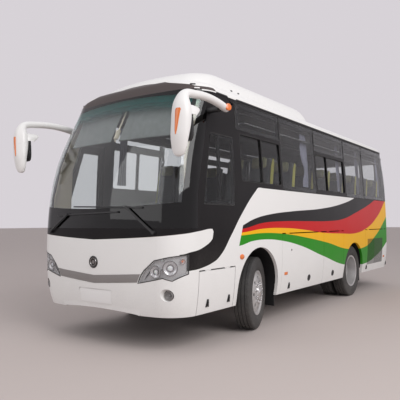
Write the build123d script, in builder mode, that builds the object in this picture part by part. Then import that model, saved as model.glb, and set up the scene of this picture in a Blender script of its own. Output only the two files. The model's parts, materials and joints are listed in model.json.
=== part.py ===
from build123d import *
import os
from math import cos, radians, sin, sqrt

# A coach bus of about eight metres, in millimetres. Z is up, the nose points along -Y, the
# driver sits on the +X side and the passenger door is on the -X side. The origin is on the
# ground under the middle of the whole vehicle, and the bus stands as it is parked, with its
# front wheels turned a little to the left. Distances named "rel" are measured back from the
# front axle.

# Main dimensions
wheelbase = 3780.0
front_overhang = 1860.0
rear_overhang = 2440.0
front_axle_y = -2100.0
rear_axle_y = front_axle_y + wheelbase
nose_y = front_axle_y - front_overhang
tail_y = rear_axle_y + rear_overhang
skirt_z = 400.0
gutter_z = 3050.0
wall = 45.0
seat_gap = 0.3
far = 1500.0

# Body levels: height, half width, nose set-back, tail set-back
body_levels = [
    (skirt_z, 1165.0, 70.0, 30.0),
    (800.0, 1215.0, 4.0, 5.0),
    (1250.0, 1225.0, 0.0, 0.0),
    (1800.0, 1214.0, 42.0, 5.0),
    (2450.0, 1178.0, 225.0, 25.0),
    (gutter_z, 1140.0, 520.0, 150.0),
]
nose_arc_r = 5500.0
nose_corner_r = 360.0
tail_arc_r = 9000.0
tail_corner_r = 200.0

# Roof levels above the gutter: rise, side inset, nose inset, tail inset
roof_levels = [
    (0.0, 0.0, 0.0, 0.0),
    (70.0, 40.0, 25.0, 50.0),
    (135.0, 170.0, 65.0, 130.0),
    (175.0, 500.0, 300.0, 400.0),
]

# Roof fairing over the air conditioner: height, half width, front end rel, rear end rel
fairing_levels = [
    (3120.0, 960.0, -1230.0, 2420.0),
    (3330.0, 880.0, -1030.0, 2340.0),
    (3450.0, 740.0, -700.0, 2200.0),
]
fairing_front_r = 2400.0
fairing_corner_r = 330.0

# Split line between the nose and the side walls, rel and height
nose_split = [
    (-1433.0, 300.0), (-1433.0, 1300.0), (-1425.0, 1500.0), (-1405.0, 1800.0),
    (-1330.0, 2100.0), (-1235.0, 2400.0), (-1130.0, 2770.0), (-1130.0, 3150.0),
]
wall_seam_rel = -570.0
side_zone_x = 900.0
tail_split_rel = 6020.0

# Glass, let into the body so that it stands flush
glass = 7.7
rebate = 8.0
pane_gap = 4.0
windshield_z = 1385.0

# Side glass band, with the window openings behind it
band_low_z = 1925.0
band_high_z = 3012.0
sill_z = 1990.0
lintel_z = 2950.0
window_r = 60.0
# Side windows: front edge rel, rear edge rel, pillar bar of the sliding panes rel or None
side_windows = [
    (-430.0, 680.0, 130.0),
    (760.0, 1940.0, None),
    (2020.0, 3340.0, 2500.0),
    (3460.0, 4400.0, None),
    (4520.0, 5950.0, None),
]
band_ends = [-520.0, 718.0, 1980.0, 3400.0, 4460.0, 5990.0]
slider_z = 2590.0
transom_z = 2700.0
slider_bar = 30.0
slider_r = 30.0
slider_in = 16.0
slider_glass = 6.0

# Driver's window on the left side, rel and height, with its sliding bar
driver_window = [(-1270.0, 1690.0), (-660.0, 1690.0), (-620.0, 2490.0), (-1120.0, 2490.0)]
driver_rebate = [(-1300.0, 1660.0), (-630.0, 1660.0), (-590.0, 2520.0), (-1104.0, 2520.0)]
driver_bar_rel = -930.0
driver_bar = 26.0

# Lower side openings: hatches, engine doors, service flap and wheel arches
leaf_gap = 8.0
hatch_top_z = 1280.0
luggage_front = (650.0, 2220.0)
luggage_rear = (2220.0, 3180.0)
engine_side = (4450.0, 5900.0)
flap_span = (-1400.0, -630.0)
flap_top_z = 900.0
front_arch_r = 550.0
front_arch_z = 560.0
rear_arch_r = 540.0
rear_arch_z = 500.0

# Air grille of the engine doors: upright slots
grille_rel = 5125.0
grille_z = 815.0
grille_h = 530.0
slot_w = 18.0
slot_pitch = 46.0
slot_count = 23

# Lug hinges of hatches, flap and engine lid
pin_r = 4.0
lug_r = 7.0
hinge_half = 55.0
lug_l = 22.0
lug_gap = 1.0
web_in = 7.0
web_out = 3.0
web_h = 16.0
hinge_in = 4.0
hinge_end = 180.0
flap_hinge_x = 1213.0
tail_hinge_out = 6.0
tail_web = 34.0
pin_clearance = 0.05

# Passenger door on the right side: outline rel and height, window and glass rebate
door_front = -1385.0
door_rear = -640.0
door_low_z = 430.0
door_lean_z = 1560.0
door_high_z = 2590.0
door_top_front = -1080.0
door_window = [
    (-1290.0, 1300.0), (-1290.0, 1590.0), (-1040.0, 2470.0), (-735.0, 2470.0), (-735.0, 1300.0),
]
door_glass_lip = 20.0
# Door mechanism: a turning column inside the steps, with two cranked arms to the leaf
column_x = -1080.0
column_rel = -700.0
column_d = 50.0
column_top_z = 1260.0
arm_reach = 450.0
arm_crank = 231.0
arm_crank_angle = 65.0
arm_heights = (800.0, 1180.0)
arm_d = 36.0
arm_pin_r = 12.0
arm_eye_r = 24.0
bracket_r = 26.0
bracket_low = 26.0
bracket_t = 24.0

# Wheels
tyre_r = 487.0
track_x = 1040.0
dual_spacing = 280.0
hand_holes = 8
front_hole_r = 24.0
front_hole_at = 205.0
rear_hole_r = 22.0
rear_hole_at = 192.0
# Turned profiles as positions across and radii: rim and tyre from the wheel's centre, the
# twin rim from the middle of the bus
front_rim_points = [
    (-105.0, 300.0), (-95.0, 300.0), (-92.0, 286.0), (92.0, 286.0), (95.0, 300.0),
    (105.0, 300.0), (102.0, 276.0), (88.0, 262.0), (104.0, 215.0), (112.0, 150.0),
    (112.0, 110.0), (138.0, 95.0), (140.0, 0.0), (78.0, 0.0), (78.0, 30.05), (-55.0, 30.05),
    (-55.0, 80.0), (98.0, 80.0), (98.0, 150.0), (90.0, 212.0), (76.0, 258.0), (70.0, 274.0),
    (-100.0, 274.0),
]
rear_rim_points = [
    (935.0, 300.0), (945.0, 300.0), (948.0, 286.0), (1132.0, 286.0), (1135.0, 300.0),
    (1145.0, 300.0), (1140.0, 274.0), (950.0, 274.0), (912.0, 240.0), (912.0, 140.0),
    (1015.0, 140.0), (1015.0, 45.05), (840.0, 45.05), (840.0, 140.0), (888.0, 140.0),
    (888.0, 240.0), (850.0, 274.0), (660.0, 274.0), (655.0, 300.0), (665.0, 300.0),
    (668.0, 286.0), (852.0, 286.0), (855.0, 300.0), (865.0, 300.0), (900.0, 262.0),
]
rear_disc_x = 880.0
tyre_points = [
    (-91.0, 286.3), (91.0, 286.3), (91.5, 300.5), (117.5, 360.0), (115.0, 450.0),
    (98.0, 487.0), (-98.0, 487.0), (-115.0, 450.0), (-117.5, 360.0), (-91.5, 300.5),
]
steer_pin_x = 905.0
parked_steer = 16.0
king_pin_r = 22.0
spindle_r = 30.0
spindle_l = 210.0
rear_spindle_r = 45.0

# Axles
beam_half_y = 35.0
beam_half_z = 50.0
eye_r = 42.0
fork_t = 30.0
fork_gap = 5.0
fork_half = 40.0
fork_web_x = 60.0
fork_web_t = 24.0
spring_half = 60.0
axle_tube_r = 60.0
rear_tube_half = 830.0
rear_spindle_half = 1000.0
diff_r = 185.0
diff_half = 150.0

# Chassis
rail_x = 365.0
rail_w = 70.0
rail_z0 = 600.0
rail_z1 = 760.0
cross_t = 60.0
rail_ends = [(-1700.0, 600.0), (3206.0, 5960.0)]
# Cross members, rel; posts on the rails, rel and the height that they carry
cross_rels = [-1680.0, -700.0, 480.0, 4480.0, 5900.0]
post_tops = [(-700.0, 880.0), (480.0, 1295.0), (4300.0, 1295.0), (5900.0, 1295.0)]
tow_plate_w = 120.0
tow_plate_l = 80.0
tow_plate_t = 30.0
tow_web_x = 40.0
tow_web_t = 15.0
tow_z = 515.0
tow_pin_r = 20.0

# Wheel housings
well_t = 15.0
well_in_x = 600.0
front_well_r = 575.0
rear_well_r = 555.0
mud_flap_t = 8.0
mud_flap_z = 235.0
mud_flap_x0 = 905.0
mud_flap_x1 = 1112.0

# Floor, driver's platform and the steps inside the door
floor_z = 1295.0
floor_t = 30.0
floor_front = -620.0
floor_rear = 5960.0
floor_half = 1170.0
platform_z = 920.0
platform_t = 40.0
platform_edge_x = -660.0
step_1_x = -1110.0
step_1_z = 450.0
step_2_z = 685.0
step_2_x = -900.0
step_t = 20.0
riser_t = 18.0
collar_r = 42.0
collar_h = 40.0

# Luggage bay and engine bulkhead, rel
bay_front = 600.0
bay_rear = 3206.0
bay_low_z = 425.0
bay_t = 20.0
bay_low_half = 1112.0
bay_mid_half = 1156.0
bay_mid_z = 800.0
bulkhead_rel = 4375.0

# Engine, rel
engine_front = 4900.0
engine_rear = 5700.0
engine_half = 290.0
engine_low_z = 610.0
engine_top_z = 1000.0
head_half = 190.0
head_top_z = 1150.0
sump_half = 210.0
sump_z = 480.0
mount_w = 80.0
mount_h = 90.0
pulley_r = 120.0
pulley_l = 60.0
fan_r = 190.0
fan_l = 50.0
gearbox_front = 4620.0
gearbox_r = 170.0

# Nose details: the edge between bumper and panel, the grey trim, the lamps
bumper_edge = [(0.0, 730.0), (670.0, 775.0), (860.0, 810.0), (1080.0, 812.0), (1200.0, 885.0)]
trim_outline = [(0.0, 732.0), (690.0, 778.0), (735.0, 878.0), (0.0, 832.0)]
trim_depth = 5.0
lamp_outline = [
    (670.0, 770.0), (720.0, 870.0), (760.0, 920.0), (890.0, 1030.0), (1060.0, 1070.0),
    (1300.0, 1110.0), (1300.0, 910.0), (1190.0, 880.0), (1080.0, 810.0), (990.0, 840.0),
    (860.0, 810.0),
]
lamp_rear_rel = -1560.0
lamp_depth = 35.0
fog_x = 1030.0
fog_z = 650.0
fog_r = 52.0
fog_flare_r = 80.0
fog_set = 14.0
fog_back = 190.0
fog_flare = 45.0
plate_w = 560.0
plate_low_z = 490.0
plate_high_z = 670.0
plate_depth = 14.0
bumper_arch = [(-640.0, 380.0), (-540.0, 480.0), (540.0, 480.0), (640.0, 380.0)]

# Tail details
tail_lamp_x = 960.0
tail_lamp_z0 = 900.0
tail_lamp_z1 = 1500.0
tail_lamp_in = 150.0
lid_half = 720.0
lid_z0 = 660.0
lid_z1 = 1500.0
lid_hinge_x = 480.0
lid_slots = 6
lid_slot_h = 16.0
lid_slot_pitch = 44.0
lid_slot_w = 900.0
lid_slot_z = 1180.0
rear_window_half = 960.0
rear_window_z0 = 1960.0
rear_window_z1 = 2860.0
rear_window_lip = 30.0

# Mirrors: head levels as height, across, rel and two half sizes
mirror_head_levels = [
    (2128.0, 1357.0, -1930.0, 62.0, 34.0),
    (2230.0, 1368.0, -1945.0, 98.0, 52.0),
    (2480.0, 1385.0, -1955.0, 116.0, 60.0),
    (2640.0, 1390.0, -1950.0, 112.0, 60.0),
    (2720.0, 1392.0, -1935.0, 80.0, 48.0),
]
mirror_arm_r = 48.0
mirror_arm_points = [
    (1392.0, -1940.0, 2650.0), (1392.0, -1880.0, 2760.0), (1380.0, -1700.0, 2815.0),
    (1365.0, -1400.0, 2842.0), (1336.0, -985.0, 2795.0),
]
mirror_arm_bends = [90.0, 200.0, 600.0]
mirror_foot = (-1130.0, -1050.0, 2755.0, 2805.0)

# Roller blinds behind the windshield
blind_set = 105.0
blind_t = 6.0
blind_x0 = 60.0
blind_x1 = 900.0
blind_z = 2460.0
blind_rear = -1225.0
cassette_drop = 60.0

# Wipers
wiper_pivot_x = 890.0
wiper_pivot_z = 1340.0
wiper_tip_x = 500.0
wiper_tip_z = 1640.0
wiper_blade_x0 = -390.0
wiper_blade_x1 = 730.0
wiper_drop = 75.0
wiper_rear = -1250.0
wiper_arm_in = 18.0
wiper_arm_out = 34.0
wiper_arm_w = 24.0
wiper_blade_in = 1.0
wiper_blade_out = 22.0
wiper_blade_w = 16.0
wiper_blade_dip = 30.0
wiper_pivot_r = 20.0

# Dashboard and steering wheel
dash_top_z = 1420.0
dash_rear = -1480.0
dash_x0 = -300.0
cluster_x0 = 350.0
cluster_x1 = 790.0
cluster_h = 95.0
cluster_d = 190.0
steering_x = 570.0
steering_rel = -1310.0
steering_z = 1460.0
steering_r = 225.0
steering_rim = 15.0
steering_tilt = 35.0
steering_column_l = 380.0

# Seats
seat_pitch = 730.0
seat_rows = 8
seat_front = 60.0
seat_x0 = 300.0
seat_x1 = 1080.0
seat_split = 20.0
cushion_low = 320.0
cushion_h = 110.0
cushion_d = 430.0
back_t = 95.0
back_h = 680.0
back_lean = 130.0
headrest_in = 25.0
pedestal_w = 400.0
pedestal_d = 200.0
driver_x0 = 330.0
driver_x1 = 810.0
driver_rel = -1080.0
driver_d = 365.0

# Luggage racks under the roof sides
rack_x = 760.0
rack_z = 2770.0
rack_t = 20.0
rack_lip = 70.0
rack_front = -200.0
rack_rear = 5800.0


def behind(rel):
    """A position along the bus from one measured back from the front axle."""
    return front_axle_y + rel


def on_y(points):
    """Side-view points, measured back from the front axle, in the frame of the bus."""
    return [(behind(rel), z) for rel, z in points]


def corner_arc(half_w, end_y, big_r, small_r, way):
    """Points of a corner between a shallow end arc and a straight side.

    way is 1 at the nose, where the arc's centre lies behind it, and -1 at the tail.
    Returns the joint on the end arc, the middle of the corner and the joint on the side.
    """
    centre_y = end_y + way * big_r
    across = half_w - small_r
    reach = big_r - small_r
    along = sqrt(reach * reach - across * across)
    corner_y = centre_y - way * along
    ux = across / reach
    uy = -way * along / reach
    mid = sqrt((ux + 1) ** 2 + uy**2)
    joint = (big_r * ux, centre_y + big_r * uy)
    middle = (across + small_r * (ux + 1) / mid, corner_y + small_r * uy / mid)
    return joint, middle, (half_w, corner_y)


def mirrored(point):
    """A plan point on the other side of the bus."""
    return (-point[0], point[1])


def plan_outline(half_w, front_y, back_y, front_r, front_corner, back_r, back_corner):
    """One closed plan outline: end arcs, four corners and two straight sides."""
    f1, f2, f3 = corner_arc(half_w, front_y, front_r, front_corner, 1)
    b1, b2, b3 = corner_arc(half_w, back_y, back_r, back_corner, -1)
    with BuildLine() as outline:
        ThreePointArc(mirrored(f1), (0, front_y), f1)
        ThreePointArc(f1, f2, f3)
        Line(f3, b3)
        ThreePointArc(b3, b2, b1)
        ThreePointArc(b1, (0, back_y), mirrored(b1))
        ThreePointArc(mirrored(b1), mirrored(b2), mirrored(b3))
        Line(mirrored(b3), mirrored(f3))
        ThreePointArc(mirrored(f3), mirrored(f2), mirrored(f1))
    make_face(outline.edges())


def body_form(inset):
    """The body's outer form moved inwards by inset, from the skirt to the gutter."""
    with BuildPart() as form:
        for level, half_w, nose_back, tail_back in body_levels:
            with BuildSketch(Plane.XY.offset(level)):
                plan_outline(
                    half_w - inset,
                    nose_y + nose_back + inset,
                    tail_y - tail_back - inset,
                    nose_arc_r - inset,
                    nose_corner_r - inset,
                    tail_arc_r - inset,
                    tail_corner_r - inset,
                )
        loft()
    return form.part


def roof_form(inset, drop):
    """The crowned roof above the gutter, moved inwards by inset and down by drop."""
    _, half_w, nose_back, tail_back = body_levels[-1]
    crown = roof_levels[-1][0]
    with BuildPart() as form:
        for rise, side_in, nose_in, tail_in in roof_levels:
            with BuildSketch(Plane.XY.offset(gutter_z + rise * (crown - drop) / crown)):
                plan_outline(
                    half_w - inset - side_in,
                    nose_y + nose_back + inset + nose_in,
                    tail_y - tail_back - inset - tail_in,
                    nose_arc_r - inset,
                    nose_corner_r - inset,
                    tail_arc_r - inset,
                    tail_corner_r - inset,
                )
        loft()
    return form.part


def block(x0, x1, y0, y1, z0, z1):
    """A box between two corners."""
    with BuildPart() as box:
        with BuildSketch(Plane.XY.offset(z0)):
            with Locations(((x0 + x1) / 2, (y0 + y1) / 2)):
                Rectangle(x1 - x0, y1 - y0)
        extrude(amount=z1 - z0)
    return box.part


def side_prism(points, x0, x1):
    """A prism across the bus: a side-view outline between two positions across."""
    with BuildPart() as prism:
        with BuildSketch(Plane.YZ.offset(x0)):
            with BuildLine():
                Polyline(*points, close=True)
            make_face()
        extrude(amount=x1 - x0)
    return prism.part


def front_prism(points, y0, y1):
    """A prism along the bus: a front-view outline between two positions along it."""
    with BuildPart() as prism:
        with BuildSketch(Plane.XZ.offset(-y1)):
            with BuildLine():
                Polyline(*points, close=True)
            make_face()
        extrude(amount=y1 - y0)
    return prism.part


def shared(form, *tools):
    """What a form has in common with each of the tools."""
    with BuildPart() as piece:
        add(form)
        for tool in tools:
            add(tool, mode=Mode.INTERSECT)
    return piece.part


def without(form, *tools):
    """A form with each of the tools taken away."""
    with BuildPart() as piece:
        add(form)
        for tool in tools:
            add(tool, mode=Mode.SUBTRACT)
    return piece.part


def bar(start, end, radius):
    """A round bar between two points."""
    run = (Vector(*end) - Vector(*start)).length
    with BuildPart() as rod:
        with BuildSketch(Plane(origin=start, z_dir=Vector(*end) - Vector(*start))):
            Circle(radius)
        extrude(amount=run)
    return rod.part


def hatch_hinge(y):
    """A lug hinge with its pin along the bus, above a side door: fixed half, moving half."""
    low, high = y - hinge_half, y + hinge_half
    with BuildPart() as fixed:
        with BuildSketch(Plane.XZ.offset(-high)):
            Circle(pin_r)
        extrude(amount=high - low)
        for start in (low, high - lug_l):
            with BuildSketch(Plane.XZ.offset(-start - lug_l)):
                Circle(lug_r)
                with Locations(((web_out - web_in) / 2, web_h / 2)):
                    Rectangle(web_in + web_out, web_h)
            extrude(amount=lug_l)
    low, high = low + lug_l + lug_gap, high - lug_l - lug_gap
    with BuildPart() as moving:
        with BuildSketch(Plane.XZ.offset(-high)):
            Circle(lug_r)
            with Locations(((web_out - web_in) / 2, -web_h / 2)):
                Rectangle(web_in + web_out, web_h)
            Circle(pin_r + pin_clearance, mode=Mode.SUBTRACT)
        extrude(amount=high - low)
    return fixed.part, moving.part


def lid_hinge(x):
    """A lug hinge with its pin across the bus, reaching forward to the skin of the tail."""
    low, high = x - hinge_half, x + hinge_half
    with BuildPart() as fixed:
        with BuildSketch(Plane.YZ.offset(low)):
            Circle(pin_r)
        extrude(amount=high - low)
        for start in (low, high - lug_l):
            with BuildSketch(Plane.YZ.offset(start)):
                Circle(lug_r)
                with Locations(((web_out - tail_web) / 2, web_h / 2)):
                    Rectangle(tail_web + web_out, web_h)
            extrude(amount=lug_l)
    low, high = low + lug_l + lug_gap, high - lug_l - lug_gap
    with BuildPart() as moving:
        with BuildSketch(Plane.YZ.offset(low)):
            Circle(lug_r)
            with Locations(((web_out - tail_web) / 2, -web_h / 2)):
                Rectangle(tail_web + web_out, web_h)
            Circle(pin_r + pin_clearance, mode=Mode.SUBTRACT)
        extrude(amount=high - low)
    return fixed.part, moving.part


os.makedirs("parts", exist_ok=True)

# Forms that several pieces are cut from: the shell of the body, the layer that the flush
# glass fills, and the recess that takes it
outer = body_form(0)
shell = without(outer, body_form(wall))
glass_layer = without(outer, body_form(glass))
rebate_layer = without(outer, body_form(rebate))
slider_layer = without(body_form(slider_in), body_form(slider_in + slider_glass))
lamp_layer = without(outer, body_form(lamp_depth))
inside = body_form(wall + seat_gap)

# The zone of the nose, and the zone of one side wall, in two panels with a seam ahead of
# the front wheel
nose_line = on_y(nose_split)
nose_zone = side_prism([(nose_y - 500, 300.0), *nose_line, (nose_y - 500, 3150.0)], -far, far)
seam_y = behind(wall_seam_rel)
with BuildPart() as side_zone:
    with BuildSketch(Plane.YZ.offset(side_zone_x)):
        with BuildLine():
            Polyline(*nose_line, (seam_y, 3150.0), (seam_y, 300.0), close=True)
        make_face()
        with BuildLine():
            Polyline(
                (seam_y + seat_gap, 300.0), (seam_y + seat_gap, 3150.0),
                (behind(tail_split_rel), 3150.0), (behind(tail_split_rel), 300.0), close=True,
            )
        make_face()
    extrude(amount=far - side_zone_x)
nose_shell = shared(shell, nose_zone)

# The front bumper and the panel above it meet along a line that dips towards the middle
edge_line = [(-x, z) for x, z in reversed(bumper_edge[1:])] + bumper_edge
edge_low = [(-far, bumper_edge[-1][1]), *edge_line, (far, bumper_edge[-1][1])]
edge_high = [(x, z + seat_gap) for x, z in edge_low]
lamp_cut = front_prism(lamp_outline, nose_y - 100, behind(lamp_rear_rel))
with BuildPart() as lamp_zone:
    add(lamp_cut)
    mirror(about=Plane.YZ)
with BuildPart() as front_bumper:
    add(nose_shell)
    add(
        front_prism([*edge_low, (far, 300.0), (-far, 300.0)], nose_y - 100, 0),
        mode=Mode.INTERSECT,
    )
    add(lamp_zone.part, mode=Mode.SUBTRACT)
    # The lower edge rises between the corners
    with BuildSketch(Plane.XZ.offset(-nose_y + 100)):
        with BuildLine():
            Polyline(*bumper_arch, close=True)
        make_face()
    extrude(amount=-1000, mode=Mode.SUBTRACT)
    # Round openings of the fog lamps, flared towards the front
    with BuildSketch(Plane.XZ.offset(-nose_y + 50)):
        with Locations((fog_x, fog_z), (-fog_x, fog_z)):
            Circle(fog_r)
    extrude(amount=-500, mode=Mode.SUBTRACT)
    for side in (-1, 1):
        with BuildSketch(Plane.XZ.offset(-nose_y - fog_back)):
            with Locations((side * fog_x, fog_z)):
                Circle(fog_r)
        with BuildSketch(Plane.XZ.offset(-nose_y - fog_back + 2 * fog_flare)):
            with Locations((side * fog_x, fog_z)):
                Circle(fog_flare_r)
        loft(mode=Mode.SUBTRACT)
    # Shallow recess for a number plate
    with BuildSketch(Plane.XZ.offset(-nose_y)):
        with Locations((0, (plate_low_z + plate_high_z) / 2)):
            RectangleRounded(plate_w, plate_high_z - plate_low_z, 20)
    extrude(amount=-plate_depth * 2, mode=Mode.SUBTRACT)
front_bumper.part.label = "front_bumper"
export_step(front_bumper.part, "parts/front_bumper.step")

# The panel has a shallow channel for the grey trim between the headlamps
trim_points = trim_outline + [(-x, z) for x, z in reversed(trim_outline[1:-1])]
trim_channel = without(front_prism(trim_points, nose_y - 100, nose_y + 400), body_form(trim_depth))
with BuildPart() as front_panel:
    add(nose_shell)
    add(
        front_prism(
            [*edge_high, (far, windshield_z - seat_gap), (-far, windshield_z - seat_gap)],
            nose_y - 100, 0,
        ),
        mode=Mode.INTERSECT,
    )
    add(lamp_zone.part, mode=Mode.SUBTRACT)
    add(trim_channel, mode=Mode.SUBTRACT)
front_panel.part.label = "front_panel"
export_step(front_panel.part, "parts/front_panel.step")

# Curved windshield, flush in the nose above the panel
with BuildPart() as windshield:
    add(shared(glass_layer, nose_zone))
    split(bisect_by=Plane.XY.offset(windshield_z), keep=Keep.TOP)
windshield.part.label = "windshield"
export_step(windshield.part, "parts/windshield.step")

# Headlamps and fog lamps
with BuildPart() as fog_lamps:
    with BuildSketch(Plane.XZ.offset(-nose_y + 50)):
        with Locations((fog_x, fog_z), (-fog_x, fog_z)):
            Circle(fog_r)
    extrude(amount=-500)
    add(body_form(fog_set), mode=Mode.INTERSECT)
    add(body_form(fog_set + lamp_depth), mode=Mode.SUBTRACT)
with BuildPart() as front_lamps:
    add(shared(lamp_layer, lamp_zone.part))
    add(fog_lamps.part)
front_lamps.part.label = "front_lamps"
export_step(front_lamps.part, "parts/front_lamps.step")

# One side wall with everything that both sides share: the recess of the flush glass, the
# windows, the wheel arches and the openings of the luggage bays and the engine
window_z = (sill_z + lintel_z) / 2
hatch_low = skirt_z - 50
with BuildPart() as band_recess:
    with BuildSketch(Plane.YZ):
        for (front, rear), (_, _, bar_rel) in zip(zip(band_ends[:-1], band_ends[1:]), side_windows):
            low = (slider_z + transom_z) / 2 if bar_rel else band_low_z
            with Locations((behind((front + rear) / 2), (low + band_high_z) / 2)):
                Rectangle(rear - front, band_high_z - low)
    extrude(amount=far)
    add(rebate_layer, mode=Mode.INTERSECT)
with BuildPart() as half_wall:
    add(shared(shell, side_zone.part))
    add(band_recess.part, mode=Mode.SUBTRACT)
    with BuildSketch(Plane.YZ):
        for front, rear, bar_rel in side_windows:
            middle = behind((front + rear) / 2)
            if bar_rel is None:
                with Locations((middle, window_z)):
                    RectangleRounded(rear - front, lintel_z - sill_z, window_r)
            else:
                with Locations((middle, (transom_z + lintel_z) / 2)):
                    RectangleRounded(rear - front, lintel_z - transom_z, slider_r)
                for y0, y1 in ((front, bar_rel - slider_bar / 2), (bar_rel + slider_bar / 2, rear)):
                    with Locations((behind((y0 + y1) / 2), (sill_z + slider_z) / 2)):
                        RectangleRounded(y1 - y0, slider_z - sill_z, slider_r)
        for y, z, radius in (
            (front_axle_y, front_arch_z, front_arch_r), (rear_axle_y, rear_arch_z, rear_arch_r),
        ):
            with Locations((y, z)):
                Circle(radius)
            with Locations((y, (z + hatch_low) / 2)):
                Rectangle(2 * radius, z - hatch_low)
        for y0, y1 in ((luggage_front[0], luggage_rear[1]), engine_side):
            with Locations((behind((y0 + y1) / 2), (hatch_low + hatch_top_z + leaf_gap) / 2)):
                Rectangle(y1 - y0, hatch_top_z + leaf_gap - hatch_low)
    extrude(amount=far, mode=Mode.SUBTRACT)

# Side doors of the luggage bays and the engine, hinged along their top edges
hatch_pin_x = body_levels[2][1] - hinge_in
hatch_leaves = []
fixed_hinges = []
for y0, y1 in (luggage_front, luggage_rear, engine_side):
    with BuildPart() as leaf:
        add(shell)
        with BuildSketch(Plane.YZ):
            with Locations((behind((y0 + y1) / 2), (hatch_low + hatch_top_z - leaf_gap) / 2)):
                Rectangle(y1 - y0 - leaf_gap, hatch_top_z - leaf_gap - hatch_low)
        extrude(amount=far, mode=Mode.INTERSECT)
        if (y0, y1) == engine_side:
            # Upright air slots
            with BuildSketch(Plane.YZ):
                with Locations((behind(grille_rel), grille_z)):
                    with GridLocations(slot_pitch, 1, slot_count, 1):
                        Rectangle(slot_w, grille_h)
            extrude(amount=far, mode=Mode.SUBTRACT)
        for y in (behind(y0) + hinge_end, behind(y1) - hinge_end):
            fixed, moving = hatch_hinge(y)
            fixed_hinges.append(fixed.moved(Location((hatch_pin_x, 0, hatch_top_z))))
            add(moving.moved(Location((hatch_pin_x, 0, hatch_top_z))))
    hatch_leaves.append(leaf)
luggage_door_front_left, luggage_door_rear_left, engine_side_door_left = hatch_leaves
with BuildPart() as luggage_door_front_right:
    mirror(luggage_door_front_left.part, about=Plane.YZ)
with BuildPart() as luggage_door_rear_right:
    mirror(luggage_door_rear_left.part, about=Plane.YZ)
with BuildPart() as engine_side_door_right:
    mirror(engine_side_door_left.part, about=Plane.YZ)
luggage_door_front_left.part.label = "luggage_door_front_left"
export_step(luggage_door_front_left.part, "parts/luggage_door_front_left.step")
luggage_door_front_right.part.label = "luggage_door_front_right"
export_step(luggage_door_front_right.part, "parts/luggage_door_front_right.step")
luggage_door_rear_left.part.label = "luggage_door_rear_left"
export_step(luggage_door_rear_left.part, "parts/luggage_door_rear_left.step")
luggage_door_rear_right.part.label = "luggage_door_rear_right"
export_step(luggage_door_rear_right.part, "parts/luggage_door_rear_right.step")
engine_side_door_left.part.label = "engine_side_door_left"
export_step(engine_side_door_left.part, "parts/engine_side_door_left.step")
engine_side_door_right.part.label = "engine_side_door_right"
export_step(engine_side_door_right.part, "parts/engine_side_door_right.step")

# Service flap under the driver's window
flap_y0, flap_y1 = behind(flap_span[0]), behind(flap_span[1])
flap_hinges = [hatch_hinge(y) for y in (flap_y0 + hinge_end, flap_y1 - hinge_end)]
at_flap = Location((flap_hinge_x, 0, flap_top_z))
with BuildPart() as service_flap:
    add(shell)
    with BuildSketch(Plane.YZ):
        with Locations(((flap_y0 + flap_y1) / 2, (hatch_low + flap_top_z - leaf_gap) / 2)):
            Rectangle(flap_y1 - flap_y0 - 2 * leaf_gap, flap_top_z - leaf_gap - hatch_low)
    extrude(amount=far, mode=Mode.INTERSECT)
    for _, moving in flap_hinges:
        add(moving.moved(at_flap))
service_flap.part.label = "service_flap"
export_step(service_flap.part, "parts/service_flap.step")

# Left wall: the driver's window with its sliding bar, and the flap's opening
driver_recess = shared(rebate_layer, side_prism(on_y(driver_rebate), 0, far))
with BuildPart() as side_wall_left:
    add(half_wall.part)
    for hinge in fixed_hinges:
        add(hinge)
    add(driver_recess, mode=Mode.SUBTRACT)
    with BuildSketch(Plane.YZ):
        with BuildLine():
            Polyline(*on_y(driver_window), close=True)
        make_face()
        with Locations((behind(driver_bar_rel), window_z)):
            Rectangle(driver_bar, far, mode=Mode.SUBTRACT)
        with Locations(((flap_y0 + flap_y1) / 2, (hatch_low + flap_top_z + leaf_gap) / 2)):
            Rectangle(flap_y1 - flap_y0, flap_top_z + leaf_gap - hatch_low)
    extrude(amount=far, mode=Mode.SUBTRACT)
    for fixed, _ in flap_hinges:
        add(fixed.moved(at_flap))
side_wall_left.part.label = "side_wall_left"
export_step(side_wall_left.part, "parts/side_wall_left.step")

# Right wall: the same with the opening of the passenger door
door_points = on_y([
    (door_front, door_low_z), (door_front, door_lean_z), (door_top_front, door_high_z),
    (door_rear, door_high_z), (door_rear, door_low_z),
])
with BuildPart() as side_wall_right:
    mirror(half_wall.part, about=Plane.YZ)
    for hinge in fixed_hinges:
        mirror(hinge, about=Plane.YZ)
    add(side_prism(door_points, -far, 0), mode=Mode.SUBTRACT)
side_wall_right.part.label = "side_wall_right"
export_step(side_wall_right.part, "parts/side_wall_right.step")

# Glass of the sides and the tail: flush panes, and sliding panes let into their frames
fixed_top = (slider_z + transom_z) / 2 + pane_gap
with BuildPart() as side_panes:
    with BuildSketch(Plane.YZ):
        for (front, rear), (_, _, bar_rel) in zip(zip(band_ends[:-1], band_ends[1:]), side_windows):
            low = fixed_top if bar_rel else band_low_z + pane_gap
            with Locations((behind((front + rear) / 2), (low + band_high_z - pane_gap) / 2)):
                Rectangle(rear - front - pane_gap, band_high_z - pane_gap - low)
    extrude(amount=far)
    add(glass_layer, mode=Mode.INTERSECT)
with BuildPart() as sliding_panes:
    with BuildSketch(Plane.YZ):
        for front, rear, bar_rel in side_windows:
            if bar_rel is not None:
                for y0, y1 in ((front, bar_rel - slider_bar / 2), (bar_rel + slider_bar / 2, rear)):
                    with Locations((behind((y0 + y1) / 2), (sill_z + slider_z) / 2)):
                        RectangleRounded(
                            y1 - y0 - 2 * seat_gap, slider_z - sill_z - 2 * seat_gap,
                            slider_r - seat_gap,
                        )
    extrude(amount=far)
    add(slider_layer, mode=Mode.INTERSECT)
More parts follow.
